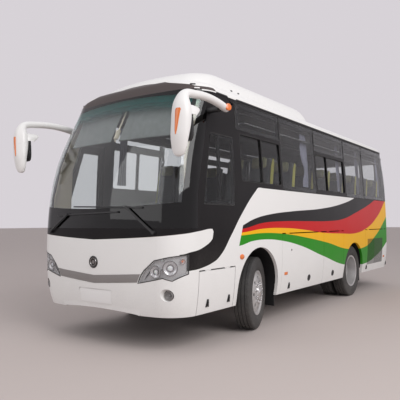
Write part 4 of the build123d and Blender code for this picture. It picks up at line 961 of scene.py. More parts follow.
def grid(levels: Iterable[float], count: int, at: Callable[[float, float], Vector]) -> list[list[Vector]]:
    """Makes rows of points.

    Args:
        levels: what each row stands for.
        count: the steps along a row.
        at: gives a point from the share along its row and its level.

    Returns:
        The rows.
    """
    return [[at(k / count, level) for k in range(count + 1)] for level in levels]


def moulded(
    name: str, finish: Look, rows: list[list[Vector]], slot: str = "black_trim", thick: float = 0.0,
    closed: bool = False, smooth: float = 50.0,
) -> bpy.types.Object:
    """Makes a piece from rows of points.

    Args:
        name: its name.
        finish: its finish.
        rows: the points, row by row.
        slot: the record's material slot.
        thick: the sheet's thickness, if it has one.
        closed: whether each row closes on itself.
        smooth: the angle in degrees up to which edges are shaded smooth.

    Returns:
        The piece.
    """
    form = Form()
    form.sheet(rows, closed)
    if thick:
        form.thicken(thick)
    return form.piece(name, finish, slot=slot, smooth=smooth)


def turned(name: str, finish: Look, slot: str, place: Matrix, *parts: tuple[int, Points]) -> None:
    """Makes a piece from profiles that turn about one axis.

    Args:
        name: its name.
        finish: its finish.
        slot: the record's material slot.
        place: the frame of the axis.
        parts: each profile's steps and points.
    """
    form = Form()
    for steps, profile in parts:
        form.lathe(profile, steps, place)
    form.piece(name, finish, slot=slot)


@dataclass(frozen=True)
class WheelPlace:
    """Where a wheel's middle plane stands, with Z along the axle and outwards."""

    side: str
    front: bool
    reach: float = TRACK_X

    @property
    def body(self) -> str:
        """The CAD body of the wheel."""
        return f"wheel_{'front' if self.front else 'rear'}_{self.side}"

    @property
    def matrix(self) -> Matrix:
        """The frame: Z outwards, X up."""
        way = 1.0 if self.side == "left" else -1.0
        out = Vector((way, 0.0, 0.0))
        if self.front:
            out = Matrix.Rotation(radians(PARKED_STEER), 4, "Z") @ out
            pin = Vector((way * STEER_PIN_X, FRONT_AXLE_Y, HUB_Z))
            middle = pin + out * (self.reach - STEER_PIN_X)
        else:
            middle = Vector((way * self.reach, REAR_AXLE_Y, HUB_Z))
        return Matrix.Translation(middle) @ Matrix((UP, out.cross(UP), out)).transposed().to_4x4()


@dataclass
class Tyres:
    """Road tyres with a rounded wall, three grooves and notched shoulders."""

    steps: int = 140
    notch_every: int = 4
    notch: float = 0.007
    shoulder: tuple[float, float] = (0.083, 0.472)
    groove_half: float = 0.0055
    groove: float = 0.011
    grooves: tuple[float, ...] = (0.047, 0.0, -0.047)
    # One side of the section, from the bead to the shoulder: place across and radius
    wall: Points = (
        (0.0905, 0.2868), (0.0925, 0.2995), (0.1035, 0.3105), (0.1125, 0.330), (0.1168, 0.352),
        (0.1175, 0.380), (0.1160, 0.410), (0.1130, 0.436), (0.1115, 0.440), (0.1125, 0.4435),
        (0.1085, 0.4600), (0.1020, 0.4745), (0.0940, 0.4825), (0.084, 0.4845),
    )

    def profile(self) -> list[tuple[float, float]]:
        """Returns the section, once around."""
        tread: list[tuple[float, float]] = []
        for at in self.grooves:
            top = 0.487 - 0.9 * at * at
            foot, half = top - self.groove, self.groove_half
            tread += [(at + half, top), (at + half * 0.6, foot), (at - half * 0.6, foot), (at - half, top)]
        return [*self.wall, *tread, *((-x, radius) for x, radius in reversed(self.wall))]

    def tyre(self, form: Form, place: Matrix) -> None:
        """Adds one tyre and cuts the notches in its shoulders.

        Args:
            form: the piece's form.
            place: the wheel's frame.
        """
        made = form.lathe(self.profile(), self.steps, Matrix())
        wide, high = self.shoulder
        for vert in made:
            radius = hypot(vert.co.x, vert.co.y)
            step = round(atan2(vert.co.y, vert.co.x) / (2 * pi) * self.steps)
            if abs(vert.co.z) > wide and radius > high and step % self.notch_every == 0:
                vert.co.x *= 1 - self.notch / radius
                vert.co.y *= 1 - self.notch / radius
        bmesh.ops.transform(form.mesh, matrix=place, verts=made)

    def build(self) -> None:
        """Builds the six tyres in four pieces."""
        for _, side in SIDES:
            for node, front, reaches in (
                (f"tyre_front_{side}", True, (TRACK_X,)),
                (f"tyres_rear_{side}", False, (TRACK_X, TRACK_X - DUAL_SPACING)),
            ):
                form = Form()
                for reach in reaches:
                    spot = WheelPlace(side, front, reach)
                    self.tyre(form, spot.matrix)
                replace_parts(form.piece(f"road_{node}", Look.TYRE, spot.body, "tyre_rubber"), node)


@dataclass
class WheelFittings:
    """Nuts on studs and hub caps of the wheels."""

    nuts: int = 10
    nut_r: float = 0.0165
    nut_h: float = 0.024
    washer: Points = ((0.0, 0.0), (0.0, 0.021), (0.004, 0.021), (0.004, 0.0))
    stud: Points = ((0.023, 0.013), (0.031, 0.0115), (0.035, 0.006), (0.036, 0.0))
    # Each axle's name, the nuts' circle, the face that they stand on and the hub cap
    axles: tuple[tuple[str, float, float, Points], ...] = (
        ("front", 0.131, 0.111, (
            (0.137, 0.0), (0.137, 0.056), (0.139, 0.0565), (0.147, 0.046), (0.151, 0.030), (0.152, 0.0),
        )),
        ("rear", 0.166, -0.129, (
            (-0.0255, 0.0), (-0.0255, 0.094), (-0.016, 0.086), (-0.011, 0.060), (-0.010, 0.0),
        )),
    )

    def build(self) -> None:
        """Fits the four wheels."""
        for _, side in SIDES:
            for axle, at, face, cap in self.axles:
                form = Form()
                wheel = WheelPlace(side, axle == "front")
                for x, y in circle(self.nuts, at):
                    spot = wheel.matrix @ Matrix.Translation((x, y, face))
                    form.lathe(self.washer, 16, spot)
                    form.prism(circle(6, self.nut_r), 0.003, self.nut_h, spot)
                    form.lathe(self.stud, 12, spot)
                form.lathe(cap, 40, wheel.matrix)
                name = f"wheel_nuts_{axle}_{side}"
                form.piece(name, Look.CHROME, wheel.body, "wheel_paint", rounded=0.0012)


@dataclass
class Headlamps:
    """Headlamps with a clear cover, a silver tray, dished bowls, an indicator and a black rim each."""

    cover_t: float = 0.003
    tray: float = 0.029
    # Bowls: across, height and radius; the third one is the indicator
    bowls: tuple[tuple[float, float, float], ...] = (
        (0.902, 0.905, 0.072), (1.066, 0.948, 0.084), (1.166, 1.020, 0.030), (0.985, 1.040, 0.022),
    )
    # Profiles in shares of a bowl's depth and radius
    dish: Points = ((-1.0, 0.0), (-0.9, 0.35), (-0.6, 0.64), (-0.2, 0.85), (0.0, 0.90), (0.0, 0.98), (-1.0, 0.99))
    inner_ring: Points = ((-0.8, 0.40), (-0.3, 0.42), (-0.3, 0.48), (-0.8, 0.50))
    dome: Points = ((-0.9, 0.0), (-0.9, 0.34), (-0.4, 0.32), (-0.15, 0.2), (-0.1, 0.0))
    rubber: Points = (
        (-0.005, -0.004), (0.005, -0.004), (0.005, 0.001), (0.002, 0.003), (-0.002, 0.003), (-0.005, 0.001),
    )
    ribs: int = 5

    def mouth(self, way: int) -> Form:
        """Copies the outer skin of one lamp's CAD solid.

        Args:
            way: 1 for left and -1 for right.

        Returns:
            A form that holds it.
        """
        data = frame["nodes"]["front_lamps"].data
        form = Form()
        verts: dict[tuple[float, ...], bmesh.types.BMVert] = {}
        for polygon in data.polygons:
            middle = polygon.center
            outward = Vector((0.55 * middle.x, -1.0, 0.0)).normalized()
            if middle.x * way < 0.6 or middle.z < 0.745 or polygon.normal.dot(outward) < 0.35:
                continue
            corners = []
            for i in polygon.vertices:
                key = tuple(round(v, 5) for v in data.vertices[i].co)
                if key not in verts:
                    verts[key] = form.mesh.verts.new(data.vertices[i].co)
                corners.append(verts[key])
            if len(set(corners)) == len(corners):
                form.mesh.faces.new(corners)
        form.mesh.normal_update()
        return form

    def cover(self, way: int, side: str) -> bpy.types.Object:
        """Makes the clear cover."""
        form = self.mouth(way)
        bmesh.ops.solidify(form.mesh, geom=form.mesh.faces[:], thickness=self.cover_t)
        return form.piece(f"headlamp_cover_{side}", Look.LAMP_GLASS, slot="lamp_glass", smooth=50.0)

    def housing(self, way: int, side: str) -> None:
        """Makes the silver tray that follows the cover, with its walls.

        Args:
            way: 1 for left and -1 for right.
            side: the side's name.
        """
        form = self.mouth(way)
        normals = {vert.co.to_tuple(5): vert.normal.copy() for vert in form.mesh.verts}
        floor = set(form.mesh.verts)
        bmesh.ops.extrude_edge_only(form.mesh, edges=[edge for edge in form.mesh.edges if edge.is_boundary])
        for vert in form.mesh.verts:
            vert.co -= normals[vert.co.to_tuple(5)] * (self.tray if vert in floor else 0.004)
        form.piece(f"headlamp_tray_{side}", Look.LAMP_TRAY, slot="lamp_glass", smooth=50.0)

    def rim(self, way: int, side: str) -> None:
        """Lays black rubber along the lamp's longest outline.

        Args:
            way: 1 for left and -1 for right.
            side: the side's name.
        """
        form = self.mouth(way)
        left = dict.fromkeys(edge for edge in form.mesh.edges if edge.is_boundary)
        longest: list[Spot] = []
        while left:
            first, here = left.popitem()[0].verts
            path = [(first.co.copy(), first.normal.copy())]
            while here is not first:
                if (here.co - path[-1][0]).length > 0.008:
                    path.append((here.co.copy(), here.normal.copy()))
                following = next((edge for edge in here.link_edges if edge in left), None)
                if following is None:
                    break
                del left[following]
                here = following.other_vert(here)
            longest = max(longest, path, key=len)
        rubber = Form()
        rubber.sweep(longest, self.rubber, closed=True)
        rubber.piece(f"headlamp_rubber_{side}", Look.SEAL, smooth=60.0)
        form.mesh.free()

    def inside(self, way: int, side: str, skin: Skin) -> None:
        """Makes the bowls, bulbs, rings, ribs and the indicator of one lamp.

        Args:
            way: 1 for left and -1 for right.
            side: the side's name.
            skin: the lamps' surface.
        """
        bowls, bulbs, rings, signal = (Form() for _ in range(4))
        for number, (x, z, radius) in enumerate(self.bowls):
            point, normal = skin.front(x * way, z)
            place = facing(point - normal * (0.006 + 0.04 * radius), normal)
            deep = min(0.022, 0.6 * radius)
            dish, inner_ring, dome = (
                [(deep * a, radius * b) for a, b in shape] for shape in (self.dish, self.inner_ring, self.dome)
            )
            bowls.lathe([*dish, (-deep - 0.001, 0.0)], 48, place)
            edge = [(0.0, 0.90 * radius), (0.003, 0.92 * radius), (0.003, 0.98 * radius), (0.0, radius)]
            rings.lathe(edge, 48, place)
            if number < 2:
                rings.lathe(inner_ring, 40, place)
            (signal if number == 2 else bulbs).lathe(dome, 32, place)
        for k in range(self.ribs):
            path = []
            for share in spread(0.0, 1.0, 4):
                x = 0.752 + 0.012 * k + (0.035 + 0.006 * k) * share
                point, normal = skin.front(x * way, 0.815 + 0.012 * k + (0.055 + 0.01 * k) * share)
                path.append((point - normal * 0.022, normal))
            rings.sweep(path, [(-0.003, -0.004), (0.003, -0.004), (0.0, 0.004)])
        for form, name, finish in (
            (bowls, "headlamp_bowls", Look.LAMP_BOWL), (bulbs, "headlamp_bulbs", Look.BULB),
            (rings, "headlamp_rings", Look.DARK_CHROME), (signal, "indicator", Look.ORANGE),
        ):
            form.piece(f"{name}_{side}", finish, slot="lamp_glass")

    def build(self) -> None:
        """Builds both lamps."""
        skin = Skin("front_lamps")
        for way, side in SIDES:
            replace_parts(self.cover(way, side), "front_lamps")
            self.housing(way, side)
            self.rim(way, side)
            self.inside(way, side, skin)


@dataclass
class FogLamps:
    """Round fog lamps in the bumper."""

    x: float = 1.03
    z: float = 0.65
    radius: float = 0.0515

    def build(self) -> None:
        """Builds both lamps, each a bowl with a bulb and a pane."""
        skin = Skin("front_lamps")
        r = self.radius
        bowl = (
            (-0.030, 0.0), (-0.028, 0.35 * r), (-0.018, 0.62 * r), (-0.004, 0.80 * r), (0.003, 0.84 * r),
            (0.005, 0.90 * r), (0.002, 0.99 * r), (-0.034, 0.99 * r), (-0.036, 0.0),
        )
        bulb = ((-0.029, 0.012), (-0.012, 0.012), (-0.006, 0.007), (-0.005, 0.0))
        pane = ((-0.003, 0.0), (-0.003, 0.83 * r), (0.001, 0.83 * r), (0.004, 0.5 * r), (0.005, 0.0))
        for way, side in SIDES:
            place = facing(skin.front(self.x * way, self.z)[0], Vector((0.25 * way, -1.0, 0.0)))
            turned(f"fog_lamp_{side}", Look.SATIN_GREY, "lamp_glass", place, (40, bowl), (20, bulb))
            turned(f"fog_lamp_pane_{side}", Look.LAMP_GLASS, "lamp_glass", place, (40, pane))


@dataclass
class NoseTrim:
    """The grey strip between the headlamps, the plain round badge, the blank plate and the lip under it."""

    steps: int = 60
    badge_z: float = 0.985
    plate_half: float = 0.262
    lip_reach: float = 0.66
    lip_top: float = 0.494
    lip_slope: float = 0.165

    def strip(self) -> None:
        """Lays the grey strip in its channel."""
        skin = Skin("front_panel")

        def at(along: float, share: float) -> Vector:
            """Returns a point of the strip's crowned face."""
            x = (-1.0 + 2.0 * along) * (0.655 + 0.046 * share)
            low = 0.734 + 0.046 * abs(x) / 0.69
            high = 0.831 + 0.046 * abs(x) / 0.735
            point, normal = skin.front(x, low + (high - low) * share)
            return point + normal * (0.0035 + 0.002 * sin(pi * share))

        rows = grid((0.02, 0.25, 0.5, 0.75, 0.98), self.steps, at)
        moulded("nose_strip", Look.SATIN_GREY, rows, "grey_trim", 0.003)

    def badge(self) -> None:
        """Makes the plain round badge."""
        place = facing(*Skin("front_panel").front(0.0, self.badge_z))
        disc = ((-0.004, 0.0), (-0.004, 0.072), (0.006, 0.072), (0.009, 0.064), (0.006, 0.056), (0.006, 0.0))
        ring = ((0.005, 0.040), (0.011, 0.043), (0.011, 0.050), (0.005, 0.053))
        boss = ((0.005, 0.0), (0.010, 0.0), (0.010, 0.020), (0.005, 0.024))
        turned("badge_disc", Look.GLOSS_BLACK, "black_trim", place, (64, disc))
        turned("badge_rings", Look.DARK_CHROME, "grey_trim", place, (64, ring), (64, boss))

    def bumper(self) -> None:
        """Makes the blank white plate in its recess and the white lip at the bumper's foot."""
        skin = Skin("front_bumper")
        half = self.plate_half
        rows = grid(
            (0.502, 0.58, 0.658), 12,
            lambda along, z: skin.front(-half + 2 * half * along, z)[0] + FORWARD * 0.004,
        )
        moulded("blank_plate", Look.PLATE, rows, "white_paint", 0.002)

        def at(along: float, share: float) -> Vector:
            """Returns a point from the shares across and down the lip."""
            x = -self.lip_reach + 2 * self.lip_reach * along
            foot = 0.404 + 0.036 * (1 - (x / self.lip_reach) ** 2)
            drop = (self.lip_top - foot) * share
            y = skin.front(x, self.lip_top)[0].y + 0.002 + drop * self.lip_slope
            return Vector((x, y, self.lip_top - drop))

        rows = grid((0.0, 0.35, 0.7, 1.0), 30, at)
        moulded("bumper_lip", Look.PLAIN_WHITE, rows, "white_paint", 0.004)

    def build(self) -> None:
        """Builds the nose's trim."""
        self.strip()
        self.badge()
        self.bumper()


@dataclass(frozen=True)
class Fitting:
    """How one kind of side fitting is made: its finish, a turned part and a block on it."""

    finish: Look
    turned: Points = ()
    steps: int = 36
    wide: float = 1.0
    block: tuple[Sequence[float], ...] = ()
    outline: Points = ()


@dataclass
class SideFittings:
    """Markers, reflectors, locks, rings and latches on both sides."""

    kinds = {
        "marker": Fitting(
            Look.ORANGE, ((-0.002, 0.0), (-0.002, 0.034), (0.008, 0.033), (0.016, 0.024), (0.019, 0.0)),
            wide=1.5,
        ),
        "reflector": Fitting(Look.ORANGE, block=((-0.050, -0.021, -0.001), (0.050, 0.021, 0.006))),
        "lock": Fitting(
            Look.DARK_CHROME,
            ((-0.001, 0.0), (-0.001, 0.017), (0.003, 0.016), (0.003, 0.009), (0.0015, 0.008), (0.0015, 0.0)),
            28, block=((-0.0015, -0.006, 0.0015), (0.0015, 0.006, 0.0028)),
        ),
        "ring": Fitting(
            Look.BLACK_TRIM,
            ((-0.001, 0.0), (-0.001, 0.052), (0.007, 0.050), (0.009, 0.040), (0.003, 0.032), (0.002, 0.0)),
            block=((-0.030, -0.005, 0.002), (0.030, 0.005, 0.007)),
        ),
        "latch": Fitting(
            Look.BLACK_TRIM, block=((-0.009, -0.030, 0.009), (0.009, 0.020, 0.018)),
            outline=(
                (-0.030, -0.045), (-0.012, -0.045), (0.0, -0.008), (0.012, -0.045), (0.030, -0.045),
                (0.012, 0.045), (-0.012, 0.045),
            ),
        ),
    }
    # Kind, distance behind the front axle, height, and the body that carries it on a side
    items: tuple[tuple[str, float, float, str], ...] = (
        ("marker", -0.48, 1.01, "body"),
        ("reflector", 0.79, 0.69, "luggage_door_front_{}"),
        ("reflector", 5.77, 0.66, "engine_side_door_{}"),
        ("lock", 0.96, 1.03, "luggage_door_front_{}"),
        ("ring", 1.64, 0.55, "luggage_door_front_{}"),
        ("ring", 2.67, 0.54, "luggage_door_rear_{}"),
        ("latch", -1.20, 0.52, "service_flap"),
        ("latch", -0.75, 0.52, "service_flap"),
        ("latch", 0.92, 0.50, "luggage_door_front_{}"),
        ("latch", 4.57, 0.50, "engine_side_door_{}"),
        ("latch", 5.99, 0.49, "body"),
    )

    def build(self) -> None:
        """Places each item on the skin of what carries it; the service flap is on the left only."""
        for kind, rel, z, carrier in self.items:
            for way, side in SIDES:
                if carrier == "service_flap" and side == "right":
                    continue
                body = carrier.format(side)
                skin = Skin(f"side_wall_{side}" if body == "body" else body)
                place = facing(*skin.side(behind(rel), z, way))
                fitting, form = self.kinds[kind], Form()
                if fitting.turned:
                    form.lathe(fitting.turned, fitting.steps, place @ Matrix.Diagonal((fitting.wide, 1, 1, 1)))
                if fitting.outline:
                    form.prism(fitting.outline, -0.001, 0.010, place)
                if fitting.block:
                    form.block(*fitting.block, place)
                form.piece(f"{kind}_{side}_{round(abs(rel) * 100)}", fitting.finish, body, rounded=0.001)


@dataclass
class Gaskets:
    """Black rubber round the panes, laid on the skin."""

    half: float = 0.006
    proud: float = 0.003
    spacing: float = 0.25

    def loop(self, form: Form, skin: Skin, corners: Points, way: int, radius: float) -> None:
        """Adds one rounded outline.

        Args:
            form: the piece's form.
            skin: the surface that it lies on.
            corners: its corners as places along the bus and heights.
            way: 1 for left and -1 for right.
            radius: the rounding of its corners.
        """
        spots = [Vector(corner) for corner in corners]
        path: list[Vector] = []
        for i, here in enumerate(spots):
            after = spots[(i + 1) % len(spots)]
            path += bend(spots[i - 1], here, after, radius, 4)
            end = path[-1]
            run = after - (after - here).normalized() * radius - end
            steps = max(1, int(run.length / self.spacing))
            path.extend(end + run * (k / steps) for k in range(1, steps))
        half, proud = self.half, self.proud
        section = (
            (-half, -0.002), (half, -0.002), (half, proud * 0.4), (0.3 * half, proud), (-0.3 * half, proud),
            (-half, proud * 0.4),
        )
        form.sweep([skin.side(y, z, way) for y, z in path], section, closed=True)

    def pane(self, form: Form, skin: Skin, way: int, box: Sequence[float], radius: float) -> None:
        """Adds the outline of a pane from its front, rear, foot and top."""
        front, rear, low, high = box
        self.loop(form, skin, [(front, low), (rear, low), (rear, high), (front, high)], way, radius)

    def build(self) -> None:
        """Rings every pane on both sides and in the door."""
        driver, door = ([(behind(rel), z) for rel, z in outline] for outline in (DRIVER_WINDOW, DOOR_WINDOW))
        for way, side in SIDES:
            skin = Skin(f"side_wall_{side}", "window_glass")
            form = Form()
            for front, rear, (_, _, bar) in zip(BAND_ENDS, BAND_ENDS[1:], SIDE_WINDOWS):
                low = SLIDER_SPLIT if bar else BAND_LOW
                self.pane(form, skin, way, (behind(front + 0.006), behind(rear - 0.006), low, BAND_HIGH), 0.02)
            for front, rear, bar in SIDE_WINDOWS:
                if bar is None:
                    continue
                for start, end in ((front, bar - 0.015), (bar + 0.015, rear)):
                    box = (behind(start) - 0.008, behind(end) + 0.008, SILL - 0.008, SLIDER_TOP + 0.008)
                    self.pane(form, skin, way, box, 0.036)
            if way > 0:
                self.loop(form, skin, driver, way, 0.03)
            form.piece(f"window_rubbers_{side}", Look.SEAL, smooth=60.0)
        form = Form()
        self.loop(form, Skin("door_leaf", "door_glass"), door, -1, 0.03)
        form.piece("door_window_rubber", Look.SEAL, "door_leaf", smooth=60.0)


@dataclass
class Mirrors:
    """Outside mirrors: a smooth shell that runs into its arm, a hooded glass and orange lenses."""

    # Middle line and half sizes: x, distance behind the front axle, z, across, deep
    line: tuple[tuple[float, ...], ...] = (
        (1.357, -1.930, 2.129, 0.006, 0.004), (1.357, -1.930, 2.133, 0.034, 0.020),
        (1.358, -1.932, 2.152, 0.060, 0.036), (1.364, -1.938, 2.215, 0.090, 0.050),
        (1.374, -1.940, 2.34, 0.108, 0.070), (1.384, -1.930, 2.47, 0.115, 0.084),
        (1.389, -1.926, 2.58, 0.114, 0.088), (1.391, -1.926, 2.67, 0.100, 0.078),
        (1.392, -1.915, 2.735, 0.076, 0.058), (1.391, -1.880, 2.780, 0.058, 0.048),
        (1.387, -1.810, 2.806, 0.050, 0.046), (1.380, -1.700, 2.820, 0.048, 0.045),
        (1.372, -1.550, 2.836, 0.047, 0.045), (1.363, -1.380, 2.840, 0.047, 0.045),
        (1.352, -1.200, 2.826, 0.047, 0.046), (1.343, -1.080, 2.808, 0.047, 0.047),
        (1.338, -1.010, 2.798, 0.044, 0.045), (1.336, -0.985, 2.795, 0.034, 0.036),
        (1.335, -0.972, 2.793, 0.014, 0.016),
    )
    steps: int = 6
    ring: int = 36
    glass_x: float = 1.382
    glass_z: tuple[float, float] = (2.30, 2.62)
    glass_half: float = 0.082
    # Outlines as growth past the glass, and place behind the head
    bezel: Points = ((-0.02, -0.045), (0.006, -0.030), (0.006, 0.006), (-0.003, 0.008), (-0.003, 0.003))
    pane: Points = ((-0.0035, 0.0025), (-0.004, 0.0055), (-0.03, 0.0070), (-0.06, 0.0075))
    hood: Points = ((0.012, -0.055), (0.024, -0.02), (0.030, 0.04), (0.029, 0.10), (0.024, 0.15), (0.016, 0.17))
    end_lens: tuple[float, float, float] = (1.396, -1.046, 2.802)
    end_r: float = 0.043
    foot: Points = (
        (-0.040, -0.026), (0.040, -0.026), (0.046, 0.0), (0.040, 0.026), (-0.040, 0.026), (-0.046, 0.0),
    )

    def knots(self, way: int) -> list[Sequence[float]]:
        """Draws a smooth line through the listed points.

        Args:
            way: 1 for left and -1 for right.

        Returns:
            Its points and half sizes.
        """
        rows = [(x * way, behind(rel), z, a, b) for x, rel, z, a, b in self.line]
        rows = [rows[0], *rows, rows[-1]]
        made: list[Sequence[float]] = []
        for i in range(1, len(rows) - 2):
            for k in range(self.steps):
                t = k / self.steps
                made.append([
                    0.5 * (2 * b + (c - a) * t + (2 * a - 5 * b + 4 * c - d) * t * t
                           + (3 * b - a - 3 * c + d) * t ** 3)
                    for a, b, c, d in zip(*rows[i - 1: i + 3])
                ])
        return [*made, rows[-1]]

    def shell(self, way: int, side: str) -> bpy.types.Object:
        """Lofts head and arm as one skin.

        Args:
            way: 1 for left and -1 for right.
            side: the side's name.

        Returns:
            The shell.
        """
        knots = self.knots(way)
        middles = [Vector(knot[:3]) for knot in knots]
        rows = []
        for i, (here, knot) in enumerate(zip(middles, knots)):
            along = (middles[min(i + 1, len(knots) - 1)] - middles[max(i - 1, 0)]).normalized()
            across = Vector((1.0, 0.0, 0.0))
            across = (across - along * across.dot(along)).normalized()
            deep = along.cross(across)
            rows.append([here + across * a + deep * b for a, b in circle(self.ring, knot[3], knot[4])])
        return moulded(f"mirror_shell_{side}", Look.MIRROR_SHELL, rows, "white_plastic", closed=True)

    def glass(self, way: int, side: str) -> None:
        """Makes the bezel, the mirror glass and the hood above it.

        Args:
            way: 1 for left and -1 for right.
            side: the side's name.
        """
        low, high = self.glass_z
        middle, half = (low + high) / 2, (high - low) / 2
        x_mid = self.glass_x * way

        def outline(grow: float, out: float) -> list[Vector]:
            """Returns a rounded outline on a plane behind the head."""
            points = []
            for c, s in circle(40, 1.0):
                x = x_mid + (self.glass_half + grow) * swell(c, 0.55)
                z = middle + (half + grow) * swell(s, 0.55)
                points.append(Vector((x, behind(-1.832) + out - 0.05 * (z - middle), z)))
            return points

        for name, finish, slot, outlines in (
            ("mirror_bezel", Look.BLACK_TRIM, "black_trim", self.bezel),
            ("mirror_glass", Look.MIRROR_METAL, "lamp_glass", self.pane),
        ):
            moulded(f"{name}_{side}", finish, [outline(*step) for step in outlines], slot, closed=True)
        rows = []
        for grow, out in self.hood:
            row = []
            for degrees in spread(8.0, 172.0, 20):
                c, s = cos(radians(degrees)), sin(radians(degrees))
                x = x_mid + (self.glass_half + grow) * swell(c, 0.6)
                y = behind(-1.85) + (out if out < 0 else out * s ** 0.5)
                row.append(Vector((x, y, 2.525 + (0.125 + grow) * s ** 0.7)))
            rows.append(row)
        moulded(f"mirror_hood_{side}", Look.MIRROR_SHELL, rows, "white_plastic", 0.005)

    def lenses(self, way: int, side: str, shell: Skin) -> None:
        """Makes the upright marker on the head, the lens on the arm's rear end and the arm's foot.

        Args:
            way: 1 for left and -1 for right.
            side: the side's name.
            shell: the mirror shell's surface.
        """
        rows = []
        for t in spread(0.0, 1.0, 18):
            centre = 1.375 + 0.034 * t
            half = (0.013 + 0.021 * t) * sqrt(min(1.0, 0.15 + 5.0 * t, 0.5 + 12.0 * (1.0 - t)))
            row = []
            for share in spread(-1.0, 1.0, 6):
                start = Vector(((centre + half * share) * way, -4.6, 2.345 + 0.267 * t))
                point, normal = shell.hit(start, BACKWARD)
                row.append(point + normal * (0.001 + 0.005 * (1 - share * share)))
            rows.append(row)
        moulded(f"mirror_marker_{side}", Look.ORANGE, rows, "red_lens", 0.004)
        x, rel, z = self.end_lens
        r = self.end_r
        lens = ((-0.012, 0.0), (-0.010, 0.94 * r), (0.003, r), (0.008, 0.9 * r), (0.011, 0.6 * r), (0.012, 0.0))
        place = facing(Vector((x * way, behind(rel), z)), Vector((0.92 * way, -0.38, 0.05)))
        turned(f"mirror_arm_lens_{side}", Look.ORANGE, "red_lens", place, (36, lens))
        foot = Form()
        outer = Vector((1.30 * way, behind(-1.09), 2.783))
        foot.prism(self.foot, -0.160, 0.0, facing(outer, Vector((way, 0.0, 0.0))))
        foot.piece(f"mirror_foot_{side}", Look.BLACK_TRIM, rounded=0.004)

    def build(self) -> None:
        """Builds both mirrors."""
        for way, side in SIDES:
            shell = self.shell(way, side)
            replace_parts(shell, "mirrors")
            self.glass(way, side)
            self.lenses(way, side, Skin(shell))


@dataclass(frozen=True)
class Pad:
    """A foam pad: its name, its size, the cells along each side and how far its cover swells."""

    name: str
    size: tuple[float, float, float]
    cells: int = 9
    swell: float = 0.012
    frames: int = 20

    def block(self) -> bpy.types.Object:
        """Returns a slightly smaller block with rounded edges."""
        shape = bmesh.new()
        bmesh.ops.create_cube(shape, size=1.0, matrix=Matrix.Diagonal((*self.size, 1.0)))
        bmesh.ops.subdivide_edges(shape, edges=shape.edges[:], cuts=self.cells - 1, use_grid_fill=True)
        for _ in range(3):
            bmesh.ops.smooth_vert(
                shape, verts=shape.verts[:], factor=0.5, use_axis_x=True, use_axis_y=True, use_axis_z=True
            )
        for vert in shape.verts:
            for axis in range(3):
                vert.co[axis] *= 0.975
        return placed(self.name, shape)

    def inflated(self) -> bpy.types.Mesh:
        """Blows the cover up with a cloth simulation.

        Returns:
            Its mesh.
        """
        pad = self.block()
        rest = [vert.co.copy() for vert in pad.data.vertices]
        cloth = pad.modifiers.new("cover", "CLOTH")
        cloth.settings.use_pressure = True
        cloth.settings.uniform_pressure_force = 4.0
        cloth.settings.effector_weights.gravity = 0.0
        scene = bpy.context.scene
        for step in range(1, self.frames + 1):
            scene.frame_set(step)
        shaped = pad.evaluated_get(bpy.context.evaluated_depsgraph_get())
        blown = [vert.co.copy() for vert in shaped.to_mesh().vertices]
        shaped.to_mesh_clear()
        pad.modifiers.remove(cloth)
        scene.frame_set(1)
        for vert, start, end in zip(pad.data.vertices, rest, blown):
            move = end - start
            if move.length > self.swell:
                move *= self.swell / move.length
            vert.co = start + move
        mesh = pad.data
        bpy.data.objects.remove(pad)
        return mesh


